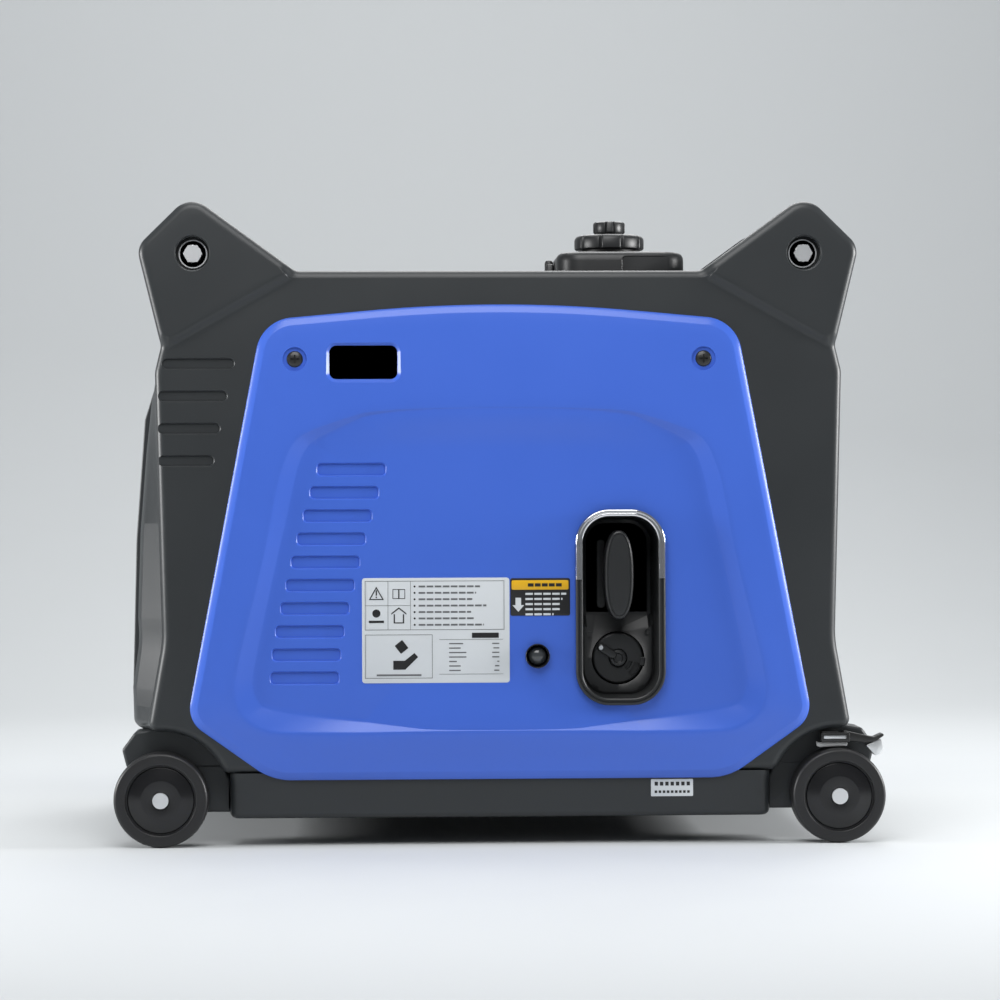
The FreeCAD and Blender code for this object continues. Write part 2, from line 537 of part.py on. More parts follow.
knob = rod("valve_disc", "Y", ("recess_x", f"-{recess_floor} - 12", "recess_z - valve_drop"), "11.5",
           "valve_knob_radius")
swing = ("cos(valve_rest_angle)", "sin(valve_rest_angle)")
bar = prism("valve_bar", [
    (f"recess_x + ({u}) * {swing[0]} - ({v}) * {swing[1]}",
     f"recess_z - valve_drop + ({u}) * {swing[1]} + ({v}) * {swing[0]}", None)
    for u, v in (("valve_knob_radius - 1", "-3.5"), ("valve_knob_radius - 1", "3.5"), ("-5", "3.5"), ("-5", "-3.5"))],
    f"-{recess_floor} - 22", f"-{recess_floor} - 10")
stem = rod("valve_stem", "Y", ("recess_x", f"-{recess_floor} - 12", "recess_z - valve_drop"), "24",
           "valve_stem_radius")
node(joined("valve_knob", knob, bar, stem), "fuel_valve_knob")
valve_back = f"-{recess_floor} + recess_wall"
valve = rod("valve_body", "Y", ("recess_x", valve_back, "recess_z - valve_drop"), "18", "14")
node(cut("valve_cut", valve, rod("valve_bore", "Y", ("recess_x", f"{valve_back} - 1",
     "recess_z - valve_drop"), "14", "valve_stem_radius + running_clearance")), "fuel_valve")
primer_front = f"-{panel_face} - 0.8"
bezel = rod("primer_tube", "Y", ("primer_x", primer_front, "primer_z"), "24", "primer_radius + 1.4")
node(cut("primer_tube_cut", bezel, rod("primer_bore", "Y", ("primer_x", f"{primer_front} - 1", "primer_z"),
     "22", "primer_radius + 0.3")), "primer_base")
node(rod("primer_dome", "Y", ("primer_x", f"{primer_front} + 2", "primer_z"), "13", "primer_radius"),
     "primer_bulb")

# Labels, lying in the panel's field and on the tray.
field_face = f"(-{panel_face} + field_depth)"
node(joined("label_group",
            block("rating_label", ("-108.7", "7.4"), (f"{field_face} - 0.4", field_face), ("127", "209.6")),
            block("caution_label", ("7.8", "54.5"), (f"{field_face} - 0.4", field_face), ("179.3", "208.7")),
            block("tray_label", ("117.8", "150.9"), ("-half_width + 1.1", "-half_width + 1.5"),
                  ("37", "50.5"))), "labels")
screws = []
for side in (-1, 1):
    at = (f"{side} * screw_spread", f"-{panel_face} + 0.6", "body_height - screw_drop")
    head = rod(f"screw_head_{side + 1}", "Y", at, "2.4", "screw_radius")
    body = rod(f"screw_body_{side + 1}", "Y", at, "15", "screw_radius / 2")
    screws.append(joined(f"screw_{side + 1}", head, body))
pair = joined("screws_near", *screws)
node(joined("screws_group", pair, mirrored("screws_far", pair)), "panel_screws")

# Fuel tank, its filler, cap and vent knob.
neck_top = "(body_height + collar_height + 6.2)"
tank_low, tank_high = "(body_height - 12 - tank_height)", "(body_height - 12)"
tank = joined("tank_solid", block("tank_block", ("-60", f"{axle_x} - 122"), ("-100", "100"),
              (tank_low, tank_high)), rod("tank_neck", "Z", ("filler_x", "0", tank_high),
              f"{neck_top} - {tank_high}", "neck_radius"))
node(cut("tank_cut", tank, block("tank_inside", ("-58", f"{axle_x} - 124"), ("-98", "98"),
     (f"{tank_low} + 2", f"{tank_high} - 2")), rod("neck_bore", "Z", ("filler_x", "0", f"{tank_high} - 5"),
     "80", "neck_radius - wall")), "fuel_tank")
collar_top = "(body_height + collar_height)"
collar = prism("collar_block", [
    ("filler_x + collar_shift - collar_length / 2", "body_height", None),
    ("filler_x + collar_shift + collar_length / 2", "body_height", None),
    ("filler_x + collar_shift + collar_length / 2", collar_top, "12"),
    ("filler_x + collar_shift - collar_length / 2", collar_top, "12")], "-collar_depth / 2", "collar_depth / 2")
tether = rod("tether_pin", "Z", ("filler_x + collar_shift - collar_length / 2 - 4", "0", "body_height"),
             "collar_height - 6", "3.5")
collar_cut = cut("collar_cut", collar, rod("collar_hole", "Z", ("filler_x", "0", "body_height - 1"),
     "collar_height + 2", "neck_radius + cap_fit"),
     rod("collar_dish", "Z", ("filler_x", "0", f"{collar_top} - 2"), "5", "cap_radius + 6"))
node(joined("collar_and_tether", collar_cut, tether), "filler_collar")
insert = joined("insert_solid", rod("insert_plug", "Z", ("filler_x", "0", f"{neck_top} - 14"), "14.3",
                "neck_radius - wall - cap_fit"),
                rod("insert_flange", "Z", ("filler_x", "0", f"{neck_top} + 0.3"), "2", "neck_radius"),
                rod("insert_pin", "Z", ("filler_x", "0", f"{neck_top} + 0.3"), "4", "5"))
node(insert, "cap_insert")
cap_low = f"({collar_top} + 2.6)"
cap_solid = rod("cap_solid", "Z", ("filler_x", "0", cap_low), "cap_height - 1.4", "cap_radius")
cap_cavity = rod("cap_cavity", "Z", ("filler_x", "0", f"{cap_low} - 1"), f"{neck_top} + 2.8 - {cap_low} + 1",
                 "neck_radius + 0.6")
cap_bore = rod("cap_bore", "Z", ("filler_x", "0", neck_top), "5", "5 + running_clearance")
knob_bore = rod("knob_bore", "Z", ("filler_x", "0", f"{cap_low} + cap_height - 3.4"), "5",
                "4 + running_clearance")
node(cut("cap_cut", cap_solid, cap_cavity, cap_bore, knob_bore), "fuel_cap")
cap_top = f"({cap_low} + cap_height - 1.4)"
knob_bar = block("knob_bar", ("filler_x - knob_radius + 1", "filler_x + knob_radius - 1"),
                 ("-3", "3"), (f"{cap_top} + 0.4", f"{cap_top} + knob_height"))
knob_round = rod("knob_round", "Z", ("filler_x", "0", f"{cap_top} + 0.4"), "knob_height - 4", "knob_radius")
knob_pin = rod("knob_pin", "Z", ("filler_x", "0", f"{cap_top} - 1.5"), "3", "4")
node(joined("knob_solid", knob_round, knob_pin, knob_bar), "vent_knob")

# Engine, alternator, recoil starter, muffler, inverter, battery, carburettor and air cleaner.
crank = ("crank_x", "crank_z")
start_y = "(-half_width + 52)"


def ring(name, y0, length, outer, inner):
    solid = rod(f"{name}_solid", "Y", ("crank_x", y0, "crank_z"), length, outer)
    hole = rod(f"{name}_hole", "Y", ("crank_x", f"{y0} - 1", "crank_z"), f"{length} + 2", inner)
    return cut(f"{name}_ring", solid, hole)


housing_ring = ring("recoil_wall", start_y, "42", "75", "71")
housing_face = ring("recoil_face", start_y, "3", "75", "9")
node(joined("recoil_solid", housing_ring, housing_face), "recoil_housing")
node(ring("reel", f"{start_y} + 5", "14", "reel_radius", "9"), "recoil_reel")
case_y = f"({start_y} + 42)"
case = block("case_block", ("crank_x - 80", "crank_x + 80"), (case_y, f"{case_y} + 90"),
             ("crank_z - 72", "crank_z + 76"))
case_bore = rod("case_bore", "Y", ("crank_x", f"{case_y} - 1", "crank_z"), "92",
                "crank_radius + running_clearance")
barrel = rod("barrel", "X", ("crank_x - 168", f"{case_y} + 45", "crank_z + 8"), "90", "34")
fins = [rod(f"fin_{index}", "X", (f"crank_x - 158 + 12 * {index}", f"{case_y} + 45", "crank_z + 8"), "3",
            "44") for index in range(6)]
node(joined("engine_solid", cut("case_cut", case, case_bore), barrel, *fins), "engine_block")
head_block = block("head_block", ("crank_x - 200", "crank_x - 168"), (f"{case_y} + 5", f"{case_y} + 85"),
                   ("crank_z - 32", "crank_z + 48"))
node(head_block, "cylinder_head")
node(joined("plug_solid", rod("plug_shell", "Z", ("crank_x - 184", f"{case_y} + 45", "crank_z + 48"), "12",
            "9"), rod("plug_cap", "Z", ("crank_x - 184", f"{case_y} + 45", "crank_z + 60"), "26", "7")),
     "spark_plug")
shaft = rod("crank_shaft", "Y", ("crank_x", f"{start_y} + 26", "crank_z"), "174", "crank_radius")
fan = rod("crank_fan", "Y", ("crank_x", f"{start_y} + 26", "crank_z"), "12", "66")
rotor_y = f"({case_y} + 94)"
rotor = rod("crank_rotor", "Y", ("crank_x", f"{rotor_y} + 3", "crank_z"), "54", "rotor_radius")
node(joined("crank_solid", shaft, fan, rotor), "crankshaft")
node(joined("stator_solid", ring("stator_core", f"{rotor_y} + 3", "54", "76", "rotor_radius + air_gap"),
            ring("stator_plate", f"{case_y} + 90", "7", "76", "62")), "stator")
mounts = [rod(f"engine_mount_{index}", "Z", (f"crank_x + {x}", f"{case_y} + {y}", "tray_bottom + wall"),
              "crank_z - 72 - tray_bottom - wall", "14")
          for index, (x, y) in enumerate(((-60, 18), (60, 18), (-60, 72), (60, 72)))]
node(joined("mount_group", *mounts), "engine_mounts")
muffler = block("muffler_can", (f"-{axle_x} + 12", f"-{axle_x} + 50"), ("-90", "110"), ("95", "215"))
port = block("muffler_port", (f"-{axle_x} + 50", "crank_x - 200"), (f"{case_y} + 30", f"{case_y} + 60"),
             ("crank_z - 10", "crank_z + 20"))
tail = rod("tail_pipe", "X", (f"-{axle_x} - 27", "75", "150"), "42", "16")
tail_bore = rod("tail_bore", "X", (f"-{axle_x} - 28", "75", "150"), "36", "13.5")
node(cut("muffler_cut", joined("muffler_solid", muffler, port, tail), tail_bore), "muffler")
inverter = block("inverter_block", ("-110", "100"), (f"{cover_half} - 52", f"{cover_half} - 24"),
                 ("90", "body_height - 129.8"))
inverter_fins = [block(f"inverter_fin_{index}", (f"-106 + 14 * {index}", f"-103 + 14 * {index}"),
                       (f"{cover_half} - 24", f"{cover_half} - 8"), ("90", "body_height - 129.8")) for index in range(15)]
foot = block("inverter_foot", ("-110", "100"), (f"{cover_half} - 52", f"{cover_half} - 44"),
             ("tray_bottom + wall", "90"))
node(joined("inverter_solid", inverter, foot, *inverter_fins), "inverter_module")
node(block("battery_block", ("118", "190"), ("-20", "100"), ("tray_bottom + wall", "115")), "battery")
carburettor = joined("carburettor_solid", block("carburettor_body", ("crank_x + 80", "crank_x + 118"),
            (f"{case_y} + 20", f"{case_y} + 66"), ("crank_z + 25", "crank_z + 68")),
            rod("carburettor_bowl", "Z", ("crank_x + 99", f"{case_y} + 43", "crank_z + 8"), "17", "15"))
cleaner = block("air_cleaner_box", ("crank_x + 118", "crank_x + 225"),
                (f"{case_y} + 6", f"{case_y} + 100"), ("crank_z + 12", "crank_z + 112"))
node(joined("intake_solid", carburettor, cleaner), "intake_system")

# Control end: the plate, the switches, buttons and lamps, the sockets and their lids.


def across(name, y, z, size_y, size_z, low, high):
    """A block on the control plate, centred at y and z, from low to high out of its face."""
    return block(name, (f"{plate_face} + ({low})", f"{plate_face} + ({high})"),
                 (f"({y}) - ({size_y}) / 2", f"({y}) + ({size_y}) / 2"),
                 (f"({z}) - ({size_z}) / 2", f"({z}) + ({size_z}) / 2"))


def along(name, y, z, radius, low, high):
    return rod(name, "X", (f"{plate_face} + ({low})", y, z), f"({high}) - ({low})", radius)


outlets = [("near", "-outlet_spread"), ("far", "outlet_spread")]
plate = block("plate_blank", (f"{plate_face} - wall", plate_face), (f"-{cover_half} + 0.5",
              f"{cover_half} - 0.5"), ("seam_height + 1", f"{end_top} - 1"))
plate_tools = [across(f"outlet_cutout_{side}", y, "outlet_z", "36", "36", "-wall - 1", "1")
               for side, y in outlets]
plate_tools += [along("dc_cutout", "-65", "235", "12", "-wall - 1", "1"),
                along("breaker_cutout", "-30", "235", "4.3", "-wall - 1", "4"),
                along("start_cutout", "-10", "300", "9.3", "-wall - 1", "4")]
plate_tools += [along(f"lamp_cutout_{index}", f"28 + 14 * {index}", "300", "3", "-wall - 1", "1")
                for index in range(3)]
rockers = [("engine", "-65", "300"), ("economy", "45", "235")]
plate_tools += [across(f"{name}_cutout", y, z, "17", "26", "-wall - 1", "4") for name, y, z in rockers]
plate_rings = [along("breaker_nut", "-30", "235", "7", "0", "2"), along("start_nut", "-10", "300", "13", "0", "2")]
plate_rings += [across(f"{name}_bezel", y, z, "23", "32", "0", "1.5") for name, y, z in rockers]
node(cut("plate_cut", joined("plate_solid", plate, *plate_rings), *plate_tools), "control_plate")
sockets = []
for side, y in outlets:
    body = across(f"{side}_outlet_body", y, "outlet_z", "35.4", "35.4", "-28", "1")
    face = across(f"{side}_outlet_face", y, "outlet_z", "40", "40", "0", "2")
    slots = [across(f"{side}_outlet_slot_{index}", f"{y} + {dy}", f"outlet_z + {dz}", wide, tall, "-16", "3")
             for index, (dy, dz, wide, tall) in enumerate(((-6.4, 4, 2.2, 8), (6.4, 4, 2.2, 9.5),
                                                           (0, -8, 5, 5)))]
    hinge = rod(f"{side}_lid_pin", "Y", (f"{plate_face} + 6", f"{y} - 26.6", "outlet_z + 26"), "53.2", "1.5")
    ears = [block(f"{side}_lid_ear_{end}", (plate_face, f"{plate_face} + 8"), (f"{y} + ({at})",
            f"{y} + ({at}) + 3"), ("outlet_z + 23.5", "outlet_z + 28.5")) for end, at in (("low", -26.6), ("high", 23.6))]
    sockets.append(cut(f"{side}_outlet", joined(f"{side}_outlet_solid", body, face, hinge, *ears), *slots))
dc_body = along("dc_body", "-65", "235", "12", "-26", "1")
dc_face = along("dc_face", "-65", "235", "16", "0", "2")
sockets.append(cut("dc_socket", joined("dc_solid", dc_body, dc_face), along("dc_bore", "-65", "235", "10.5",
                                                                            "-22", "3")))
node(joined("sockets_group", *sockets), "power_sockets")
for side, y in outlets:
    shell = across(f"{side}_lid_outer", y, "outlet_z", "lid_size", "lid_size", "2.6", "24.8")
    hollow = across(f"{side}_lid_inner", y, "outlet_z", "lid_size - 4", "lid_size - 4", "0", "22.8")
    knuckle = rod(f"{side}_lid_knuckle", "Y", (f"{plate_face} + 6", f"{y} - 20.6", "outlet_z + 26"), "41.2", "3.2")
    web = block(f"{side}_lid_web", (f"{plate_face} + 5", f"{plate_face} + 9.2"),
                (f"{y} - 20.6", f"{y} + 20.6"), ("outlet_z + 22", "outlet_z + 26"))
    bore = rod(f"{side}_lid_bore", "Y", (f"{plate_face} + 6", f"{y} - 27", "outlet_z + 26"), "54",
               "1.5 + running_clearance")
    node(cut(f"{side}_lid_cut", joined(f"{side}_lid_solid", cut(f"{side}_lid_cup", shell, hollow), knuckle, web),
             bore), f"{side}_outlet_lid")
for name, y, z in rockers:
    drum = rod(f"{name}_drum", "Y", (f"{plate_face} - 6", f"{y} - 7.5", z), "15", "11.5")
    ridge = across(f"{name}_ridge", y, z, "15", "3", "4", "7.5")
    node(joined(f"{name}_rocker", drum, ridge), f"{name}_switch")
node(along("start_push", "-10", "300", "9", "-12", "4.5"), "start_button")
node(along("breaker_push", "-30", "235", "4", "-10", "6"), "breaker_button")
node(joined("lamp_group", *[along(f"lamp_{index}", f"28 + 14 * {index}", "300", "3", "-8", "1.5")
                            for index in range(3)]), "indicator_lamps")
ground_at = ("80", "125")
ground_hex = doc.addObject("Part::Prism", "ground_nut")
ground_hex.Polygon, ground_hex.Placement.Rotation = 6, turns["X"]
bind(ground_hex, Circumradius="5.8", Height="5")
place(ground_hex, plate_face, *ground_at)
node(joined("ground_solid", along("ground_stud", *ground_at, "3", "0", "20"), ground_hex), "ground_terminal")

doc.removeObject("probe")
doc.recompute()
for thing in doc.Objects:
    if "Invalid" in thing.State or "Error" in thing.State:
        raise RuntimeError(f"{thing.Label} failed: {thing.State}")
for part in nodes:
    if part.Shape.isNull() or not part.Shape.isValid() or not part.Shape.Solids:
        raise RuntimeError(f"{part.Label} has no valid shape")
os.makedirs("parts", exist_ok=True)
for part in nodes:
    part.Shape.exportStep(f"parts/{part.Label}.step")
print(len(nodes), "nodes")
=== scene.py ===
import math

import bmesh
import bpy
import numpy as np
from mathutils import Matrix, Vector


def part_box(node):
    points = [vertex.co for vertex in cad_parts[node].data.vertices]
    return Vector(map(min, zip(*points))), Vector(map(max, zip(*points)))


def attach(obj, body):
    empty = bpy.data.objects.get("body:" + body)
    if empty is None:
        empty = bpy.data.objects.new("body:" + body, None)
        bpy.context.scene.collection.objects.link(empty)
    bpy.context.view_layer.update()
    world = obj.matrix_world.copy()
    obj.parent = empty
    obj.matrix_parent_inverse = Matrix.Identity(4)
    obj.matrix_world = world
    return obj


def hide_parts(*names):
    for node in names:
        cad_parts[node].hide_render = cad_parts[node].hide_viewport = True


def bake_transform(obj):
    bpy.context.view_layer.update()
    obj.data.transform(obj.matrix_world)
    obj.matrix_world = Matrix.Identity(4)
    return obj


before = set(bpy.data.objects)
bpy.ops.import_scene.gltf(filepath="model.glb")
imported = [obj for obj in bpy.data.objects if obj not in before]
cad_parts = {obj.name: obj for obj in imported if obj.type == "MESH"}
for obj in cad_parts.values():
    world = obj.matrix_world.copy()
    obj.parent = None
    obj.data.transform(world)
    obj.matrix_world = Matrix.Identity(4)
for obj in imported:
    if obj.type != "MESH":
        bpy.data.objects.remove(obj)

scene = bpy.context.scene
mm = 0.001  # every size below is in millimetres, and meshes are written in metres
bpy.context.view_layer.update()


def corner(node, high=False):
    # a CAD node's lowest or highest corner, in millimetres
    return np.array(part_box(node)[1 if high else 0]) / mm


# ---- curves and surfaces ----

def dense(points, step=0.5):
    # a closed line through the points, divided so that no piece is longer than step
    points = np.asarray(points, float)
    following = np.roll(points, -1, 0)
    pieces = []
    for start, end in zip(points, following):
        count = max(1, int(np.ceil(np.linalg.norm(end - start) / step)))
        pieces.append(start + (end - start) * (np.arange(count) / count)[:, None])
    return np.vstack(pieces)


def roundedOutline(cornerList, turnSteps=16):
    # straight runs joined by tangent arcs: each corner is (x, z, radius)
    spots = np.array([item[:2] for item in cornerList], float)
    radii = [item[2] for item in cornerList]
    out = []
    for i, spot in enumerate(spots):
        before, after = spots[i - 1] - spot, spots[(i + 1) % len(spots)] - spot
        u, v = before / np.linalg.norm(before), after / np.linalg.norm(after)
        half = math.acos(float(np.clip(u @ v, -1, 1))) / 2
        radius = radii[i]
        if radius < 0.01 or half > 1.57:
            out.append(spot[None])
            continue
        reach = radius / math.tan(half)
        middle = spot + (u + v) / np.linalg.norm(u + v) * radius / math.sin(half)
        a, b = spot + u * reach - middle, spot + v * reach - middle
        turn = math.atan2(a[0] * b[1] - a[1] * b[0], a @ b)
        angles = np.linspace(0, turn, turnSteps)
        out.append(middle + np.stack([a[0] * np.cos(angles) - a[1] * np.sin(angles),
                                      a[0] * np.sin(angles) + a[1] * np.cos(angles)], 1))
    return np.vstack(out)


def evenly(points, count):
    # count points spaced evenly along a closed line
    closed = np.vstack([points, points[:1]])
    along = np.concatenate([[0], np.cumsum(np.linalg.norm(np.diff(closed, axis=0), axis=1))])
    wanted = np.linspace(0, along[-1], count, endpoint=False)
    return np.stack([np.interp(wanted, along, closed[:, k]) for k in range(2)], 1)


def directions(points, centre):
    return np.unwrap(np.arctan2(points[:, 1] - centre[1], points[:, 0] - centre[0]))


def onRays(points, centre, angles):
    # the distance from centre to a closed line, along each direction
    line = dense(points)
    own = np.arctan2(line[:, 1] - centre[1], line[:, 0] - centre[0])
    order = np.argsort(own)
    reach = np.linalg.norm(line - centre, axis=1)
    return np.interp(angles, own[order], reach[order], period=2 * math.pi)


def fromRays(reach, centre, angles):
    return np.stack([centre[0] + reach * np.cos(angles), centre[1] + reach * np.sin(angles)], 1)


def inset(points, distance):
    # a closed line moved inwards along its normals
    ahead = np.roll(points, -1, 0) - np.roll(points, 1, 0)
    ahead /= np.linalg.norm(ahead, axis=1)[:, None]
    inward = np.stack([-ahead[:, 1], ahead[:, 0]], 1)
    area = np.sum(points[:, 0] * np.roll(points[:, 1], -1) - np.roll(points[:, 0], -1) * points[:, 1])
    return points + inward * distance * np.sign(area)


def at(points, y):
    # a line in X and Z put at a depth y, which may be one number or one for each point
    return np.stack([points[:, 0], np.broadcast_to(y, len(points)), points[:, 1]], 1)


def eased(value):
    value = np.clip(value, 0, 1)
    return value * value * (3 - 2 * value)


def loft(loops, ring=False):
    # quads between neighbouring closed lines; ring joins the last line to the first
    loops = np.asarray(loops, float)
    count, around = loops.shape[:2]
    index = np.arange(count * around).reshape(count, around)
    rows = np.arange(count if ring else count - 1)
    low, high = index[rows], index[(rows + 1) % count]
    quads = np.stack([low, np.roll(low, -1, 1), np.roll(high, -1, 1), high], -1).reshape(-1, 4)
    faces = quads.tolist()
    if not ring:
        faces += [index[0][::-1].tolist(), index[-1].tolist()]
    return loops.reshape(-1, 3), faces


def lathe(profile, centre, axis="y", around=72):
    # a profile of (radius, place along the axis) turned about the axis through centre
    profile = np.asarray(profile, float)
    angle = np.linspace(0, 2 * math.pi, around, endpoint=False)
    radius, along = profile[:, :1], np.repeat(profile[:, 1:2], around, 1)
    a, b = radius * np.cos(angle), radius * np.sin(angle)
    order = {"y": (a, along, b), "z": (a, b, along), "x": (along, a, b)}[axis]
    return loft(np.stack(order, -1) + np.asarray(centre, float))


def softProfile(points, radius, steps=5):
    # an open profile with its inner corners rounded to a radius
    points = [np.array(p, float) for p in points]
    out = [points[0]]
    for before, spot, after in zip(points, points[1:], points[2:]):
        u, v = before - spot, after - spot
        r = min(radius, 0.45 * np.linalg.norm(u), 0.45 * np.linalg.norm(v))
        a, b = spot + u / np.linalg.norm(u) * r, spot + v / np.linalg.norm(v) * r
        share = np.linspace(0, 1, steps)[:, None]
        out += list((1 - share) ** 2 * a + 2 * share * (1 - share) * spot + share ** 2 * b)
    return np.array(out + [points[-1]])


def merge(*parts):
    # several (points, faces) pairs as one
    points, faces, base = [], [], 0
    for somePoints, someFaces in parts:
        points.append(np.asarray(somePoints, float))
        faces += [[i + base for i in face] for face in someFaces]
        base += len(somePoints)
    return np.vstack(points), faces


def boxShape(low, high):
    low, high = np.asarray(low, float), np.asarray(high, float)
    loops = [[(x, y, z) for x, y in ((low[0], low[1]), (high[0], low[1]), (high[0], high[1]),
                                     (low[0], high[1]))] for z in (low[2], high[2])]
    return loft(loops)


def plateShape(outline, front, back, edge=0.5, steps=3):
    # a plate in the XZ plane between two depths, with its front edge rounded
    way = math.copysign(1, back - front)
    loops = [at(outline, back)]
    for turn in np.linspace(0, math.pi / 2, steps):
        level = front + way * edge * (1 - math.sin(turn))
        loops.append(at(inset(outline, edge * (1 - math.cos(turn))), level))
    return loft(loops)


def roundRect(x, z, width, height, radius, turnSteps=8):
    w, h = width / 2, height / 2
    return roundedOutline([(x - w, z - h, radius), (x + w, z - h, radius), (x + w, z + h, radius),
                           (x - w, z + h, radius)], turnSteps)


def circle(x, z, radius, around=48):
    angle = np.linspace(0, 2 * math.pi, around, endpoint=False)
    return np.stack([x + radius * np.cos(angle), z + radius * np.sin(angle)], 1)


# ---- making objects ----

def tidy(obj, sharp=30):
    # merges doubles, turns faces outwards, and shades smooth between sharp edges
    shape = bmesh.new()
    shape.from_mesh(obj.data)
    bmesh.ops.remove_doubles(shape, verts=shape.verts, dist=1e-6)
    bmesh.ops.recalc_face_normals(shape, faces=shape.faces)
    shape.to_mesh(obj.data)
    shape.free()
    obj.data.polygons.foreach_set("use_smooth", [True] * len(obj.data.polygons))
    obj.data.set_sharp_from_angle(angle=math.radians(sharp))


def place(name, shape, material, body="housing", replaces=(), sharp=30, mirrorY=False):
    # a piece from its points and faces, in place, riding a body unless the body is None
    points, faces = shape
    points = np.array(points, float) * mm
    if mirrorY:
        points[:, 1] *= -1
    mesh = bpy.data.meshes.new(name)
    mesh.from_pydata(points.tolist(), [], faces)
    obj = bpy.data.objects.new(name, mesh)
    scene.collection.objects.link(obj)
    tidy(obj, sharp)
    mesh.materials.append(material)
    if body:
        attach(obj, body)
    if replaces:
        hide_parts(*replaces)
    return obj


def carve(obj, *shapes, sharp=30, mirrorY=False):
    # cuts closed shapes out of a piece
    points, faces = merge(*shapes)
    points = points * mm
    if mirrorY:
        points[:, 1] *= -1
    mesh = bpy.data.meshes.new("cutter")
    mesh.from_pydata(points.tolist(), [], faces)
    tool = bpy.data.objects.new("cutter", mesh)
    scene.collection.objects.link(tool)
    tidy(tool)
    step = obj.modifiers.new("carve", "BOOLEAN")
    step.operation, step.object, step.solver = "DIFFERENCE", tool, "EXACT"
    bpy.context.view_layer.update()
    carved = bpy.data.meshes.new_from_object(obj.evaluated_get(bpy.context.evaluated_depsgraph_get()))
    obj.modifiers.clear()
    old, obj.data = obj.data, carved
    bpy.data.meshes.remove(old)
    bpy.data.objects.remove(tool)
    carved.polygons.foreach_set("use_smooth", [True] * len(carved.polygons))
    carved.set_sharp_from_angle(angle=math.radians(sharp))


def softened(node, material, width, body="housing"):
    # a CAD node's own shape with its edges rounded, standing for the node
    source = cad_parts[node]
    copy = bpy.data.objects.new(node + "Soft", source.data.copy())
    scene.collection.objects.link(copy)
    shape = bmesh.new()
    shape.from_mesh(copy.data)
    bmesh.ops.remove_doubles(shape, verts=shape.verts, dist=1e-5)
    bmesh.ops.dissolve_limit(shape, angle_limit=math.radians(3), verts=shape.verts, edges=shape.edges)
    shape.to_mesh(copy.data)
    shape.free()
    copy.data.materials.clear()
    copy.data.materials.append(material)
    copy.data.polygons.foreach_set("use_smooth", [True] * len(copy.data.polygons))
    bevel = copy.modifiers.new("edges", "BEVEL")
    bevel.width, bevel.segments, bevel.limit_method = width * mm, 3, "ANGLE"
    bevel.angle_limit, bevel.harden_normals, bevel.use_clamp_overlap = math.radians(30), True, True
    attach(copy, body)
    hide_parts(node)


# ---- materials ----

def material(name, color, roughness=0.5, metallic=0.0, grain=0.0, grainSize=0.6, mottling=0.08, coat=0.0,
             bump=0.15):
    # a moulded or metal finish: slow changes of tone and roughness, and grain as bumps a few tenths across
    mat = bpy.data.materials.new(name)
    mat.use_nodes = True
    nodes, links = mat.node_tree.nodes, mat.node_tree.links
    shader = nodes["Principled BSDF"]
    shader.inputs["Metallic"].default_value = metallic
    shader.inputs["Coat Weight"].default_value = coat
    shader.inputs["Coat Roughness"].default_value = 0.08
    where = nodes.new("ShaderNodeTexCoord")
    slow = nodes.new("ShaderNodeTexNoise")
    slow.inputs["Scale"].default_value = 14
    slow.inputs["Detail"].default_value = 6
    links.new(where.outputs["Object"], slow.inputs["Vector"])
    tone = nodes.new("ShaderNodeMapRange")
    tone.inputs["To Min"].default_value, tone.inputs["To Max"].default_value = 1 - mottling, 1 + mottling
    links.new(slow.outputs["Fac"], tone.inputs["Value"])
    tinted = nodes.new("ShaderNodeMix")
    tinted.data_type, tinted.blend_type = "RGBA", "MULTIPLY"
    tinted.inputs[0].default_value = 1
    tinted.inputs[6].default_value = (*color, 1)
    links.new(tone.outputs["Result"], tinted.inputs[7])
    links.new(tinted.outputs[2], shader.inputs["Base Color"])
    rough = nodes.new("ShaderNodeMapRange")
    rough.inputs["To Min"].default_value = max(0.02, roughness * 0.86)
    rough.inputs["To Max"].default_value = min(1, roughness * 1.16)
    links.new(slow.outputs["Fac"], rough.inputs["Value"])
    links.new(rough.outputs["Result"], shader.inputs["Roughness"])
    if grain:
        fine = nodes.new("ShaderNodeTexNoise")
        fine.inputs["Scale"].default_value = 1 / (grainSize * mm)
        fine.inputs["Detail"].default_value = 2
        links.new(where.outputs["Object"], fine.inputs["Vector"])
        height = nodes.new("ShaderNodeBump")
        height.inputs["Strength"].default_value = bump
        height.inputs["Distance"].default_value = grain * mm
        links.new(fine.outputs["Fac"], height.inputs["Height"])
        links.new(height.outputs["Normal"], shader.inputs["Normal"])
    return mat


shellBlack = material("shellBlack", (0.021, 0.024, 0.026), 0.42, grain=0.05, grainSize=0.7, bump=0.25)
panelBlue = material("panelBlue", (0.051, 0.134, 0.60), 0.3, grain=0.02, grainSize=0.9, mottling=0.03,
                     bump=0.08)
glossBlack = material("glossBlack", (0.010, 0.010, 0.011), 0.2, mottling=0.05)
satinBlack = material("satinBlack", (0.016, 0.017, 0.018), 0.38, grain=0.03, grainSize=0.5)
wheelBlack = material("wheelBlack", (0.008, 0.008, 0.009), 0.22, mottling=0.05)
tyreBlack = material("tyreBlack", (0.012, 0.012, 0.013), 0.42, grain=0.03)
zincBright = material("zincBright", (0.84, 0.85, 0.86), 0.4, metallic=1, mottling=0.1)
chromeBright = material("chromeBright", (0.82, 0.82, 0.84), 0.1, metallic=1, mottling=0.02)
blackSteel = material("blackSteel", (0.02, 0.02, 0.02), 0.3, mottling=0.1)
rubberBlack = material("rubberBlack", (0.014, 0.014, 0.015), 0.55, grain=0.05)
printWhite = material("printWhite", (0.62, 0.65, 0.67), 0.35, mottling=0.02)
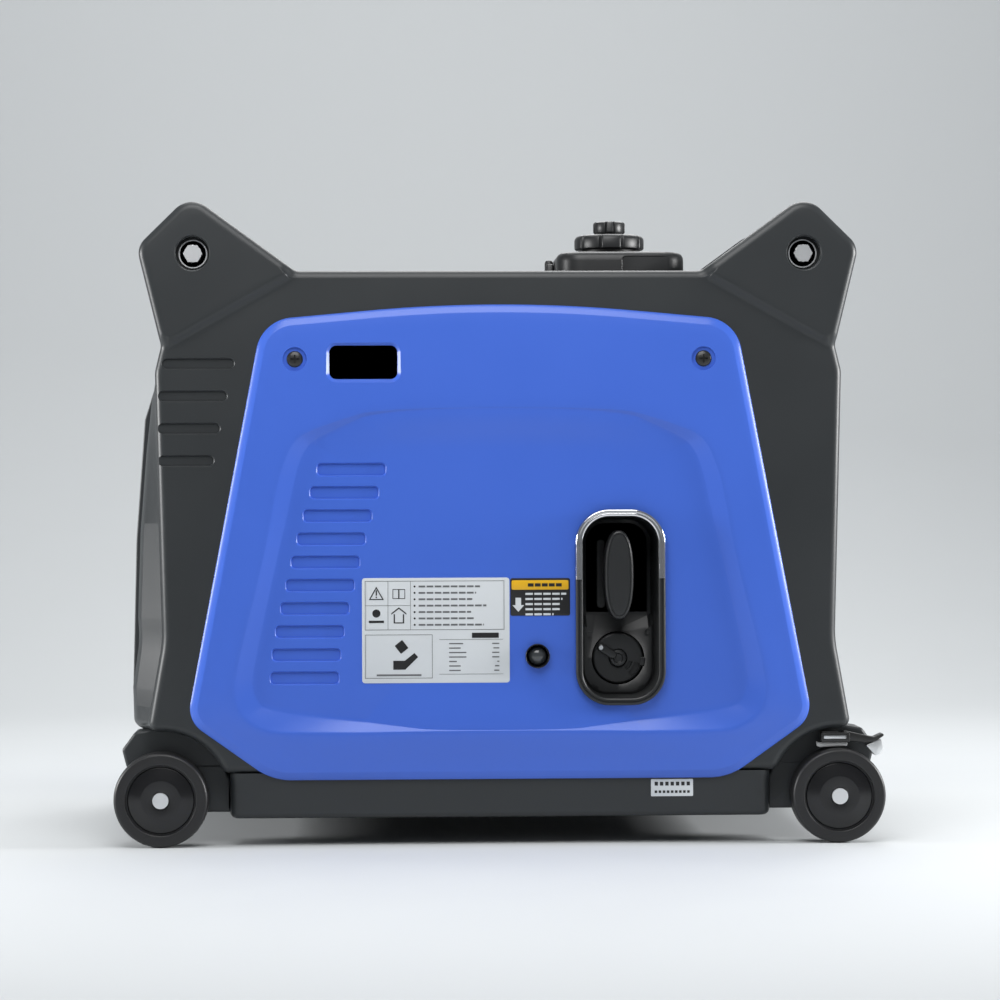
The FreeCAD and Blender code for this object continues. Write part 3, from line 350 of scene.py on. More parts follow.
printBlack = material("printBlack", (0.012, 0.012, 0.013), 0.35, mottling=0.02)
printGrey = material("printGrey", (0.13, 0.135, 0.14), 0.4, mottling=0.02)
printYellow = material("printYellow", (0.75, 0.42, 0.01), 0.35, mottling=0.02)
castAlloy = material("castAlloy", (0.42, 0.43, 0.44), 0.45, metallic=0.9, grain=0.1)
steelGrey = material("steelGrey", (0.4, 0.4, 0.4), 0.35, metallic=1)
copperWound = material("copperWound", (0.5, 0.22, 0.1), 0.4, metallic=0.9)
lampGreen = material("lampGreen", (0.02, 0.4, 0.06), 0.15)
switchRed = material("switchRed", (0.55, 0.02, 0.015), 0.25)
buttonGreen = material("buttonGreen", (0.02, 0.22, 0.05), 0.25)
ropeFibre = material("ropeFibre", (0.03, 0.03, 0.03), 0.8, mottling=0.3)
tankPlastic = material("tankPlastic", (0.02, 0.02, 0.02), 0.5)
bulbSmoke = material("bulbSmoke", (0.05, 0.055, 0.06), 0.08, coat=0.6)
print("materials ready")

# ---- service panels ----

panel = {
    "proud": 5.0, "bevelWidth": 6.5, "fieldDepth": 4.6, "slope": 0.42, "fall": (1.0, 3.2),
    "points": 900, "centre": (0.0, 232.0),
    "outline": [(178.9, 51.7, 48), (244.9, 98.6, 22), (185.6, 411.0, 30), (0.0, 427.7, 1150)],
    "swooshOuter": [(53, 89.7), (120, 88.4), (171.6, 88.1), (184, 89.6), (196.5, 96.3), (206.6, 107.0),
                    (209.4, 122), (207, 138), (201.6, 161.5), (185.2, 225.8), (174.7, 285.5), (170, 298.7),
                    (164.6, 312), (155.2, 322.5), (125.6, 333.1), (92.8, 342.4)],
    "swooshInner": [(53, 90.2), (78, 93.6), (182.5, 107.2), (189.5, 113.9), (193.4, 124), (192.7, 136.5),
                    (174.7, 221.5), (165.4, 259), (159.9, 285.5), (156.8, 298.7), (151.3, 310.4),
                    (143.5, 318.2), (128.7, 325.3), (92.8, 341.9)],
    "ventSize": (53.3, 9.5, 3.0), "ventDepth": 2.4, "ventLip": 0.7,
    "ventTop": 294.3, "ventPitch": 18.1,
    "ventMiddles": (-116.2, -121.8, -127.1, -132.1, -136.7, -140.9, -145.0, -149.0, -151.8, -153.2),
    "fingerHole": (-106.5, 378.0, 53.3, 26.4, 5.5), "fingerRim": 3.0, "dish": 2.6,
    "screwX": 160.0, "screwZ": 380.5, "screwSeat": 9.5,
}


def bothSides(half):
    # a half outline for +X and its mirror image, going round
    other = [(-item[0], *item[1:]) for item in reversed(half) if abs(item[0]) > 0.01]
    return list(half) + other


def smoothLine(points):
    # cuts a closed line's corners three times, which leaves a soft curve
    points = np.array(points, float)
    for _ in range(3):
        following = np.roll(points, -1, 0)
        points = np.stack([points * 0.75 + following * 0.25, points * 0.25 + following * 0.75], 1)
        points = points.reshape(-1, 2)
    return points


def panelSurface(front, seat):
    # rings from the seat over the bevel to the border, then down the ramp of the sunk field, whose depth
    # follows the ramp's width, so that it fades where the two edges of the ramp meet
    centre = np.array(panel["centre"])
    outline = evenly(dense(roundedOutline(bothSides(panel["outline"]), 40)), panel["points"])
    angles = directions(outline, centre)
    outer = onRays(smoothLine(bothSides(panel["swooshOuter"])), centre, angles)
    inner = np.minimum(onRays(smoothLine(bothSides(panel["swooshInner"])), centre, angles), outer - 0.15)
    border = fromRays(outer, centre, angles)
    sunk = fromRays(inner, centre, angles)
    depth = np.clip((outer - inner) * panel["slope"], 0, panel["fieldDepth"])
    width, rise = panel["bevelWidth"], seat - front
    low = np.clip(-np.sin(angles), 0, 1) ** 2
    fall = panel["fall"][0] + (panel["fall"][1] - panel["fall"][0]) * low
    loops = [at(inset(outline, 6), seat + 3), at(inset(outline, 0.4), seat + 3), at(outline, seat - 0.2)]
    for share, lift in ((0.0, 0.1), (0.06, 0.26), (0.16, 0.4), (0.5, 0.68), (0.86, 0.94), (0.94, 0.985)):
        loops.append(at(inset(outline, 0.2 + (width - 0.2) * share), seat - (rise - fall) * lift))
    edge = inset(outline, width)
    for share in (0.0, 0.12, 0.4, 0.7, 0.9, 1.0):
        loops.append(at(edge + (border - edge) * share, front + fall * (1 - eased(share))))
    for share, drop in ((0.07, 0.035), (0.15, 0.12), (0.5, 0.5), (0.85, 0.88), (0.93, 0.965), (1.0, 1.0)):
        loops.append(at(border + (sunk - border) * share, front + depth * drop))
    for share in (0.02, 0.06, 0.11, 0.17, 0.23, 0.3, 0.6, 0.97):
        mix = eased(share / 0.3)
        level = front + depth * (1 - mix) + panel["fieldDepth"] * mix
        loops.append(at(sunk + (centre - sunk) * share, level))
    return loft(loops)


def ventCutter(x, z, front, width, height, radius, deep, lip):
    # a slot with a small sloping lip round its mouth
    loops = [at(roundRect(x, z, width + 2 * lip, height + 2 * lip, radius + lip), front - 1.5),
             at(roundRect(x, z, width + 2 * lip, height + 2 * lip, radius + lip), front - 0.02),
             at(roundRect(x, z, width, height, radius), front + lip),
             at(roundRect(x, z, width - 0.6, height - 0.6, radius - 0.3), front + deep)]
    return loft(loops)


def fieldLevel(front):
    return front + panel["fieldDepth"]


def servicePanel(name, node, mirrorY, extraCuts):
    # the pressed panel with its slots, finger hole and screw seats, and the cuts that only one side has
    front = float(corner("near_service_panel")[1])
    seat = front + panel["proud"]
    cuts = []
    width, height, radius = panel["ventSize"]
    for row, x in enumerate(panel["ventMiddles"]):
        z = panel["ventTop"] - panel["ventPitch"] * row
        cuts.append(ventCutter(x, z, fieldLevel(front), width, height, radius, panel["ventDepth"],
                               panel["ventLip"]))
    x, z, w, h, r = panel["fingerHole"]
    hole = roundRect(x, z, w, h, r)
    rim = roundRect(x, z, w + 2 * panel["fingerRim"], h + 2 * panel["fingerRim"], r + panel["fingerRim"])
    cuts.append(loft([at(rim, front - 1), at(rim, front + 0.02), at(hole, front + panel["dish"]),
                      at(hole, seat + 30)]))
    for side in (-1, 1):
        x, z, r = side * panel["screwX"], panel["screwZ"], panel["screwSeat"]
        cuts.append(loft([at(circle(x, z, r), front - 1), at(circle(x, z, r - 0.3), front + panel["dish"])]))
    obj = place(name, panelSurface(front, seat), panelBlue, replaces=(node,), sharp=24,
                mirrorY=mirrorY)
    carve(obj, *cuts, *extraCuts(front), sharp=24, mirrorY=mirrorY)


recess = {"x": 94.0, "z": 185.7, "width": 67.0, "height": 150.0, "round": 24}
primerSpot = {"x": 28.9, "z": 147.8, "hole": 9.1}


def starterCuts(front):
    # straight holes through the panel for the starter recess and the primer
    hole = roundRect(recess["x"], recess["z"], recess["width"], recess["height"], recess["round"], 16)
    small = circle(primerSpot["x"], primerSpot["z"], primerSpot["hole"])
    return [loft([at(line, front - 1), at(line, front + 40)]) for line in (hole, small)]


servicePanel("nearPanel", "near_service_panel", False, starterCuts)
servicePanel("farPanel", "far_service_panel", True, lambda front: [])
print("service panels done")

# ---- side shells ----

shell = {
    "round": 6.0, "depth": 60.0, "wall": 3.0, "points": 1500, "centre": (0.0, 250.0),
    "hornProud": 4.2, "stepWidth": 8.5,
    "bulge": [(62, 2), (89, 13), (123, 20), (178, 22), (245, 18), (312, 11), (348, 6), (375, 0)],
    "roof": (159.4, 449.8), "peak": (241.3, 509.5), "hornCorner": (283.1, 468.5), "neck": (264.4, 391.7),
    "hip": (269.4, 370.8), "waist": (263.8, 160.0), "skirt": (276.4, 57.3),
    "wheelX": 265.4, "wheelZ": 37.0, "arch": 53.0,
    "vents": [(-264.0, -206.9, 377.2), (-267.3, -212.6, 351.9), (-267.8, -218.2, 326.7),
              (-267.8, -223.1, 301.5)],
    "ventHeight": 8.8, "boltX": 239.4, "boltZ": 463.3, "recessRadius": 13.3, "recessDepth": 8.5,
}


def archedSide():
    # corner list of the right half's lower end, with the wheel arch as points on its circle
    x, z, radius = shell["wheelX"], shell["wheelZ"], shell["arch"]
    rise = math.sqrt(radius ** 2 - (shell["skirt"][0] - x) ** 2)
    start = math.atan2(rise, shell["skirt"][0] - x)
    end = math.pi - math.asin((shell["skirt"][1] - z) / radius)
    turns = [end, *np.linspace(end - 0.2, start + 0.2, 12), start]
    return [(x + radius * math.cos(turn), z + radius * math.sin(turn), 7 if turn in (start, end) else 0)
            for turn in turns]


def shellOutline(horns=True):
    half = archedSide()
    half += [(*shell["waist"], 90), (*shell["hip"], 22), (*shell["neck"], 12)]
    if horns:
        half += [(*shell["hornCorner"], 16), (*shell["peak"], 19)]
    half += [(*shell["roof"], 14 if horns else 4)]
    return dense(roundedOutline(bothSides(half), 24))


def sideShellSurface(face):
    # rings from the window under the panel outwards over the face, down the step below each horn, round the
    # edge and back along the side wall, then home along the inside
    centre = np.array(shell["centre"])
    outline = evenly(shellOutline(), shell["points"])
    edge = inset(outline, shell["round"])
    angles = directions(edge, centre)
    reach = np.linalg.norm(edge - centre, axis=1)
    plain = onRays(inset(evenly(shellOutline(False), shell["points"]), shell["round"]), centre, angles)
    horn = eased((reach - plain) / 14)
    window = inset(evenly(dense(roundedOutline(bothSides(panel["outline"]), 40)), 1200), 9)
    window = fromRays(onRays(window, centre, angles), centre, angles)
    stepTop = fromRays(np.minimum(reach - 0.5, plain + 9), centre, angles)
    stepFoot = fromRays(np.minimum(reach - 1.0, plain + 9 - shell["stepWidth"]), centre, angles)
    low, high = face, face - shell["hornProud"] * horn
    loops = []
    for share in (0, 0.2, 0.4, 0.6, 0.8, 0.92, 1.0):
        loops.append(at(window + (stepFoot - window) * share, low))
    for share in (0.12, 0.3, 0.5, 0.7, 0.88, 1.0):
        climb = 0.5 - 0.5 * math.cos(math.pi * share)
        loops.append(at(stepFoot + (stepTop - stepFoot) * share, low + (high - low) * climb))
    for share in (0.06, 0.3, 0.6, 0.9, 1.0):
        loops.append(at(stepTop + (edge - stepTop) * share, high))
    for turn in np.linspace(0, math.pi / 2, 7)[1:]:
        loops.append(at(inset(outline, shell["round"] * (1 - math.sin(turn))),
                        high + shell["round"] * (1 - math.cos(turn))))
    back = face + shell["depth"]
    heights, swell = zip(*shell["bulge"])
    left = np.interp(outline[:, 1], heights, swell) * eased((-outline[:, 0] - 252) / 8)
    for share in (0.15, 0.3, 0.45, 0.6, 0.8, 1.0):
        start = high + shell["round"]
        moved = outline.copy()
        moved[:, 0] -= left * eased(share * 1.2)
        loops.append(at(moved, start + (back - start) * share))
    inner = inset(moved, shell["wall"])
    loops += [at(inner, back), at(inset(inner, 1), face + 30), at(inset(outline, 5), face + shell["wall"]),
              at(window, face + shell["wall"])]
    return loft(loops, ring=True)


def sideShell(name, node, mirrorY):
    # the shell with its shallow slots and bolt recesses, and the plates that close them
    face = float(corner("near_service_panel")[1]) + panel["proud"]
    obj = place(name, sideShellSurface(face), shellBlack, replaces=(node,), sharp=32,
                mirrorY=mirrorY)
    cuts = []
    for low, high, z in shell["vents"]:
        cuts.append(ventCutter((low + high) / 2, z, face, high - low - 0.8, shell["ventHeight"] - 0.8, 4.0,
                               panel["ventDepth"], panel["ventLip"]))
    for side in (-1, 1):
        x, z, r = side * shell["boltX"], shell["boltZ"], shell["recessRadius"]
        top = face - shell["hornProud"]
        cuts.append(loft([at(circle(x, z, r + 1.2, 72), top - 1), at(circle(x, z, r + 1.0, 72), top + 0.02),
                          at(circle(x, z, r, 72), top + 1.2),
                          at(circle(x, z, r - 0.4, 72), face + shell["recessDepth"])]))
    carve(obj, *cuts, sharp=32, mirrorY=mirrorY)
    # the bottom of each bolt recess
    floor = face + shell["recessDepth"]
    top, foot, wide = floor - 0.2, floor + 1.4, shell["recessRadius"] + 2
    for side, word in ((-1, "Left"), (1, "Right")):
        cup = lathe([(0, foot), (wide, foot), (wide, top), (0, top)],
                    (side * shell["boltX"], 0, shell["boltZ"]))
        place(f"{name}Seat{word}", cup, shellBlack, mirrorY=mirrorY)
    # the closed back of each horn, between the roof line and the horn's own edge
    for side, word in ((-1, "Left"), (1, "Right")):
        back = roundedOutline([(side * 148, 447.4, 0), (side * 159.4, 447.8, 0), (side * 241.3, 505, 16),
                               (side * 280.4, 467.4, 13), (side * 262.6, 391.7, 8), (side * 266, 372, 0),
                               (side * 258, 372, 0)])
        place(f"{name}HornBack{word}", plateShape(evenly(dense(back), 300), -149.5, -146.1, 0.3), shellBlack,
              mirrorY=mirrorY)


sideShell("nearShell", "near_side_shell", False)
sideShell("farShell", "far_side_shell", True)
print("side shells done")

# ---- wheels ----

wheel = {"radius": 37.0, "hub": 27.3, "width": 28.0, "face": 15.5, "axle": 6.25, "outer": 214.0}


def wheels():
    # each wheel is a tyre turned round a hub with a dished face
    for end, way in (("near", -1), ("far", 1)):
        for side, sign in (("left", -1), ("right", 1)):
            outer = way * wheel["outer"]
            centre = (sign * shell["wheelX"], 0, shell["wheelZ"])
            r, h = wheel["radius"], wheel["hub"]
            back = outer - way * wheel["width"]

            def off(distance):
                return outer - way * distance
            tyre = softProfile([(h, off(4.0)), (h, off(1.6)), (h + 0.6, off(0.7)), (r - 1.9, off(0.7)),
                                (r - 0.5, off(2.2)), (r, off(6.5)), (r, off(21.5)), (r - 0.5, off(25.8)),
                                (r - 1.9, off(27.4)), (h, off(27.4))], 0.8)
            place(f"{end}{side.title()}Tyre", lathe(tyre, centre, around=120), tyreBlack,
                  body=f"{end}_{side}_wheel", replaces=(f"{end}_{side}_tyre",), sharp=40)
            bore, rim = wheel["axle"], wheel["face"]
            hub = softProfile([(bore + 0.3, off(1.2)), (bore + 0.9, off(0.4)), (rim, off(0.4)),
                               (rim + 0.5, off(0.5)), (h - 1.7, off(3.0)), (h - 1.0, off(4.2)),
                               (h, off(4.4)), (h, back), (bore + 0.3, back)], 0.5)
            place(f"{end}{side.title()}Hub", lathe(hub, centre, around=120), wheelBlack,
                  body=f"{end}_{side}_wheel", replaces=(f"{end}_{side}_wheel",), sharp=28)


wheels()
print("wheels done")

# ---- starter recess, its trim, pull grip and fuel valve ----

bezel = {"x": recess["x"], "z": recess["z"], "width": 70.4, "height": 153.4, "round": 26.5,
         "base": -211.0, "front": -213.4, "floor": -166.0, "split": 207.5,
         "shelfTop": 171.4, "slopeTop": 182.5, "shelfRise": 14.0}


def bezelOutline():
    line = roundRect(bezel["x"], bezel["z"], bezel["width"], bezel["height"], bezel["round"], 24)
    return evenly(dense(line), 480)


def starterRecess():
    # a rim with a rounded ridge, walls that close in slightly, and a floor with a shelf for the valve knob
    outline = bezelOutline()
    steps = [(0.0, bezel["base"] + 1.5), (0.0, bezel["base"] - 1.0), (0.3, bezel["front"] + 0.5),
             (1.0, bezel["front"]), (2.0, bezel["front"] - 0.1), (2.4, bezel["front"] + 0.7),
             (2.9, bezel["front"] + 0.7), (3.3, bezel["front"] - 0.1), (4.6, bezel["front"]),
             (5.3, bezel["front"] + 0.5), (5.7, bezel["front"] + 1.4), (6.0, bezel["front"] + 5), (6.6, -190),
             (7.2, -172), (8.5, -167.5), (11, bezel["floor"])]
    loops = [at(inset(outline, step), y) for step, y in steps]
    centre = np.array([bezel["x"], bezel["z"]])
    last = inset(outline, 11)
    for share in (0.3, 0.6, 0.85):
        loops.append(at(last + (centre - last) * share, bezel["floor"]))
    loops += [at(last + (centre - last) * 0.85, bezel["floor"] + 3),
              at(inset(outline, 5.2), bezel["floor"] + 3),
              at(inset(outline, 3.2), bezel["base"] + 4), at(inset(outline, 3.2), bezel["base"] + 1.5)]
    place("starterRecess", loft(loops, ring=True), satinBlack, replaces=("starter_recess",), sharp=28)
    # the floor's middle, which the rings above leave open
    floor = place("recessFloor", plateShape(inset(outline, 9.5), bezel["floor"], bezel["floor"] + 2.8, 0.1),
                  satinBlack)
    pocket = roundRect(81.5, grip["z"], 6, 54, 2.9, 8)
    carve(floor, loft([at(pocket, bezel["floor"] - 2), at(pocket, bezel["floor"] + 2.2)]))
    shelf = inset(outline, 6.9)
    top = np.clip((shelf[:, 1] - bezel["shelfTop"]) / (bezel["slopeTop"] - bezel["shelfTop"]), 0, 1)
    shelf[:, 1] = np.minimum(shelf[:, 1], bezel["slopeTop"])
    level = bezel["floor"] - bezel["shelfRise"] * (1 - top) - 0.05
    centre = np.array([bezel["x"], 148.0])
    loops = [at(shelf, bezel["floor"] + 1.0)]
    for share in (0, 0.06, 0.14):
        line = shelf + (centre - shelf) * share
        line[:, 1] = np.minimum(line[:, 1], bezel["shelfTop"] + (shelf[:, 1] - bezel["shelfTop"]).clip(0))
        loops.append(at(line, level + 1.2 * (share == 0)))
    shelfPiece = place("valveShelf", loft(loops), satinBlack)
    well = circle(valve["x"], valve["z"], valve["radius"] + 0.9, 96)
    carve(shelfPiece, loft([at(well, -200), at(well, -160)]))
    guide = softProfile([(3.2, bezel["floor"] + 1), (3.2, bezel["floor"] - 6), (4.4, bezel["floor"] - 7),
                         (7, bezel["floor"] - 7), (8, bezel["floor"] - 6), (8, bezel["floor"] + 1)], 0.6)
    place("ropeGuide", lathe(guide, (grip["x"], 0, grip["z"])), satinBlack)


def recessTrim():
    # the bright half of the rim, a ridge carried up one side, over the top and down the other
    outline = bezelOutline()
    upper = outline[:, 1] > bezel["split"]
    first = int(np.argmax(upper & ~np.roll(upper, 1)))
    near, far = (np.roll(inset(outline, distance), -first, 0)[: int(upper.sum())] for distance in (0.2, 5.4))
    front = bezel["front"] - 0.5
    section = softProfile([(0, front + 1.8), (0, front + 0.5), (0.12, front), (0.36, front - 0.15),
                           (0.44, front + 0.55), (0.56, front + 0.55), (0.64, front - 0.15), (0.88, front),
                           (1, front + 0.5), (1, front + 1.8)], 0.3, 3)
    loops = [[(a[0] + (b[0] - a[0]) * share, y, a[1] + (b[1] - a[1]) * share) for share, y in section]
             for a, b in zip(near, far)]
    place("brightTrim", loft(loops), chromeBright, replaces=("recess_trim",), sharp=35)


def ovalOutline(x, z, width, height):
    # an oval with fuller corners than an ellipse, whose power would be 2
    power = 2.35
    turn = np.linspace(0, 2 * math.pi, 160, endpoint=False)
    c, s = np.cos(turn), np.sin(turn)
    return np.stack([x + width / 2 * np.sign(c) * np.abs(c) ** (2 / power),
                     z + height / 2 * np.sign(s) * np.abs(s) ** (2 / power)], 1)


grip = {"x": 93.0, "z": 211.0, "width": 23.8, "height": 70.0, "front": -212.0, "back": -188.0}


def pullGrip():
    # an oval handle: rounded sides, a raised inner line and a slightly crowned face
    centre = np.array([grip["x"], grip["z"]])
    outline = ovalOutline(grip["x"], grip["z"], grip["width"], grip["height"])

    def shrunk(distance):
        scale = 1 - distance / (grip["width"] / 2)
        tall = 1 - distance / (grip["height"] / 2)
        return centre + (outline - centre) * [scale, tall]
    rings = [(3.5, grip["back"]), (1.0, grip["back"] + 0.6), (0.2, grip["back"] - 3), (0, grip["front"] + 8),
             (0.25, grip["front"] + 3.2), (1.0, grip["front"] + 1.2), (2.0, grip["front"] + 0.5),
             (2.6, grip["front"] + 0.45), (2.8, grip["front"] + 0.8), (3.2, grip["front"] + 0.8),
             (3.5, grip["front"] + 0.35), (6, grip["front"] + 0.1), (9, grip["front"])]
    place("pullGrip", loft([at(shrunk(d), y) for d, y in rings]), satinBlack, body="starter_grip",
          replaces=("starter_grip",), sharp=30)


def pullRope():
    # a laid rope: three strands as a lobed section that turns along the rope
    around, count = 36, 70
    turn = np.linspace(0, 2 * math.pi, around, endpoint=False)
    loops = []
    for share in np.linspace(0, 1, count):
        twist = share * 42 / 9 * 2 * math.pi
        radius = 2.1 + 0.35 * np.abs(np.cos(1.5 * (turn - twist)))
        loops.append(np.stack([grip["x"] + radius * np.cos(turn), np.full(around, -187.9 + 42 * share),
                               grip["z"] + radius * np.sin(turn)], 1))
    obj = place("pullRope", loft(loops), ropeFibre, body=None, replaces=("starter_rope",), sharp=60)
    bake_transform(obj)


valve = {"x": 94.0, "z": 144.5, "radius": 20.0, "front": -180.0, "back": -171.0, "pointer": 148.0}


def around(centre, shape, degrees):
    # turns a line in X and Z about a centre
    turn = math.radians(degrees)
    c, s = math.cos(turn), math.sin(turn)
    shape = np.asarray(shape, float)
    return np.stack([centre[0] + shape[:, 0] * c - shape[:, 1] * s,
                     centre[1] + shape[:, 0] * s + shape[:, 1] * c], 1)


def valveKnob():
    x, z, r = valve["x"], valve["z"], valve["radius"]
    back, front = valve["back"] + 4, valve["front"]
    profile = softProfile([(0, back), (r, back), (r, front + 1), (r - 1.2, front), (7.4, front),
                           (7.0, front + 0.8), (6.4, front - 2.4), (4.2, front - 3.0), (3.2, front - 1.8),
                           (0, front - 1.8)], 0.5)
    disc = place("valveKnob", lathe(profile, (x, 0, z), around=120), satinBlack, body="fuel_valve_knob",
                 replaces=("fuel_valve_knob",), sharp=28)
    cuts = []
    for low, high in ((8.6, 11.8), (13.4, 18.2)):
        turns = np.radians(np.linspace(-54, -13, 14))
        arc = [(x + high * math.cos(t), z + high * math.sin(t)) for t in turns]
        arc += [(x + low * math.cos(t), z + low * math.sin(t)) for t in turns[::-1]]
        arc = np.array(arc)
        cuts.append(loft([at(arc, valve["front"] - 1), at(arc, valve["front"] + 3)]))
    carve(disc, *cuts, sharp=28)
    bar = around((x, z), roundRect(10.5, 0, 17, 6.4, 3.1), valve["pointer"])
    place("valvePointer", plateShape(bar, valve["front"] - 3.6, valve["front"] + 0.5, 1.0, 5), satinBlack,
          body="fuel_valve_knob", sharp=40)
    dot = around((x, z), circle(16, 0, 1.7), valve["pointer"])
    place("pointerDot", plateShape(dot, valve["front"] - 3.9, valve["front"] - 3.4, 0.15), printWhite,
          body="fuel_valve_knob")
    tab = around((x, z), roundRect(19.5, 0, 4.4, 7, 1.2), -8)
    place("valveStop", plateShape(tab, valve["front"] - 0.6, valve["front"] + 3, 0.6, 4), satinBlack,
          body="fuel_valve_knob", sharp=40)


def valveMarks():
    # raised marks beside the knob: a bar where it is open, a ring where it is shut
    level = bezel["floor"] - bezel["shelfRise"]
    openMark = around((70.5, 165.2), roundRect(0, 0, 6.5, 1.3, 0.5), 0)
    place("openMark", plateShape(openMark, level - 0.5, level + 0.5, 0.2), satinBlack)
    place("shutMark", lathe([(1.5, level + 0.5), (1.5, level - 0.5), (2.4, level - 0.5), (2.4, level + 0.5)],
                            (117.5, 0, 165.2), around=40), satinBlack)


def primer():
    # a ring in the panel with a domed bulb inside it
    x, z = primerSpot["x"], primerSpot["z"]
    tube = softProfile([(8.0, -189), (8.0, -207.0), (8.8, -210.6), (9.3, -211.4), (9.6, -210.8),
                        (9.6, -189)], 0.5)
    place("primerRing", lathe(tube, (x, 0, z)), glossBlack, replaces=("primer_base",))
    dome = [(0, -197), (7.5, -197), (7.5, -203)]
    dome += [(7.5 * math.cos(t), -203 - 6.4 * math.sin(t)) for t in np.linspace(0.05, math.pi / 2, 14)]
    place("primerBulb", lathe(dome, (x, 0, z)), bulbSmoke, body="primer_bulb", replaces=("primer_bulb",),
          sharp=50)


starterRecess()
recessTrim()
pullGrip()
pullRope()
valveKnob()
valveMarks()
primer()
print("starter recess done")

# ---- labels ----

label = {"level": -206.5, "board": 0.25, "ink": 0.42, "tray": -204.55}


def flat(x0, x1, z0, z1, thick=label["ink"], level=label["level"]):
    # a printed bar, as a low box
    return boxShape((x0, level - thick, z0), (x1, level + 0.3, z1))


def printed(outline):
    # a printed form, as a low prism
    return loft([at(np.array(outline), label["level"] + 0.3), at(np.array(outline), label["level"] - 0.4)])


def dashes(x, width, z, half, step, dash):
    # a row of short bars in place of a line of words
    return [flat(start, min(start + dash, x + width), z - half, z + half)
            for start in np.arange(x, x + width, step)]


def frameLines(x0, x1, z0, z1, line=0.35):
    return [flat(x0, x1, z1 - line, z1), flat(x0, x1, z0, z0 + line), flat(x0, x0 + line, z0, z1),
            flat(x1 - line, x1, z0, z1)]


def boardLabel():
    # the large board: boxed pictograms at the left, rows of bars at the right
    board = plateShape(roundRect(-50.6, 168.2, 115.4, 82.2, 2.4), label["level"] - label["board"],
                       label["level"] + 0.4, 0.05)
    place("ratingBoard", board, printWhite, replaces=("labels",))
    grey = frameLines(-106.0, 3.0, 168.6, 207.0) + frameLines(-106.0, -53.3, 130.8, 165.0)
    grey += [flat(-88.2, -87.9, 168.6, 207.0), flat(-70.6, -70.3, 168.6, 207.0),
             flat(-106, -70.3, 187.6, 187.9)]
    for row, width in enumerate((48, 45, 42, 53, 41, 43, 51)):
        grey += dashes(-64, width, 202.6 - 5.0 * row, 0.7, 6.3, 5.2)
    rows = ((11, 5.6), (9, 4.6), (13.5, 5.6), (13.5, 5.6), (6, 1.6), (9, 3.4), (9, 4))
    for row, (left, right) in enumerate(rows):
        z = 157.8 - 3.5 * row
        grey += [flat(-40.3, -40.3 + left, z - 0.45, z + 0.45), flat(-1 - right, -1, z - 0.45, z + 0.45)]
    grey += [flat(-48, 2, 160.9, 161.15), flat(-48, 2, 133.8, 134.05), flat(-97, -62, 132.6, 134.0)]
    place("boardLines", merge(*grey), printGrey)
    dark = [plateShape(circle(-67.2, 202.6 - 5.0 * row, 0.8, 16), label["level"] - label["ink"],
                       label["level"] + 0.3, 0.05) for row in range(7)]
    triangle = np.array([(-103, 192.2), (-91.2, 192.2), (-97.1, 202.6)])
    inner = np.array([(-101.6, 193.0), (-92.6, 193.0), (-97.1, 201.0)])
    back, front = label["level"] + 0.3, label["level"] - 0.4
    dark.append(loft([at(triangle, back), at(triangle, front), at(inner, front), at(inner, back)], ring=True))
    dark += [flat(-97.6, -96.6, 195.6, 199.8), flat(-97.6, -96.6, 193.7, 194.8)]
    dark += frameLines(-84.4, -79.5, 193.0, 200.6, 0.5) + frameLines(-79.5, -74.6, 193.0, 200.6, 0.5)
    dark += [plateShape(circle(-97.1, 181.6, 3.2, 28), label["level"] - 0.36, label["level"] + 0.3, 0.05)]
    dark += [flat(-103, -91.2, 174.2, 176.0), flat(-83.6, -75.4, 173.8, 174.6), flat(-83.6, -82.6, 174, 181),
             flat(-76.4, -75.4, 174, 181)]
    roof = [(-85.4, 180.6), (-79.5, 185.2), (-73.6, 180.6), (-73.6, 181.8), (-79.5, 186.4), (-85.4, 181.8)]
    dark.append(printed(roof))
    drum = [(-84, 137.6), (-74.6, 137.6), (-64.6, 147.4), (-67.4, 150.6), (-75, 144.6), (-84, 144.6)]
    dark += [printed(drum), printed(around((-77.5, 155.4), roundRect(0, 0, 7.5, 8, 0.6), 38)),
             flat(-22.4, -1.4, 162.2, 166.2)]
    place("boardMarks", merge(*dark), printBlack)


def cautionLabel():
    # the small board: a yellow bar, rows of bars and a downward arrow
    place("cautionBoard", plateShape(roundRect(31.2, 194.0, 46.8, 29.4, 1.6), label["level"] - label["board"],
                                     label["level"] + 0.4, 0.05), printBlack)
    place("cautionBar", plateShape(roundRect(31.1, 203.4, 44.6, 7.4, 1.2), label["level"] - label["ink"],
                                   label["level"] + 0.3, 0.05), printYellow)
    marks = [flat(start, start + 4.6, 202.1, 204.7, 0.5) for start in (21.5, 27, 32.5, 38, 43.5)]
    place("cautionMarks", merge(*marks), printBlack)
    white = []
    for row, width in enumerate((32, 29, 28, 27, 22)):
        white += dashes(19.6, width, 196.4 - 4.0 * row, 0.8, 7.0, 5.8)
    white.append(printed([(11.8, 193.4), (16.2, 193.4), (16.2, 187.6), (18.6, 187.6), (14.0, 182.4),
                          (9.4, 187.6), (11.8, 187.6)]))
    place("cautionPrint", merge(*white), printWhite)


def traySticker():
    # two rows of marks on a small board on the tray
    level = label["tray"]
    board = plateShape(roundRect(134.3, 43.8, 33.1, 13.5, 0.8), level - 0.3, level + 0.3, 0.05)
    place("trayBoard", board, printWhite)
    marks = [flat(start, start + 2.6, 45.4, 48.4, level=level) for start in np.arange(120.6, 147, 4.2)]
    marks += [flat(start, start + 2.0, 39.6, 41.6, level=level) for start in np.arange(120.6, 147, 3.2)]
    place("trayMarks", merge(*marks), printBlack)


boardLabel()
cautionLabel()
traySticker()
print("labels done")

# ---- filler, cap and vent knob ----

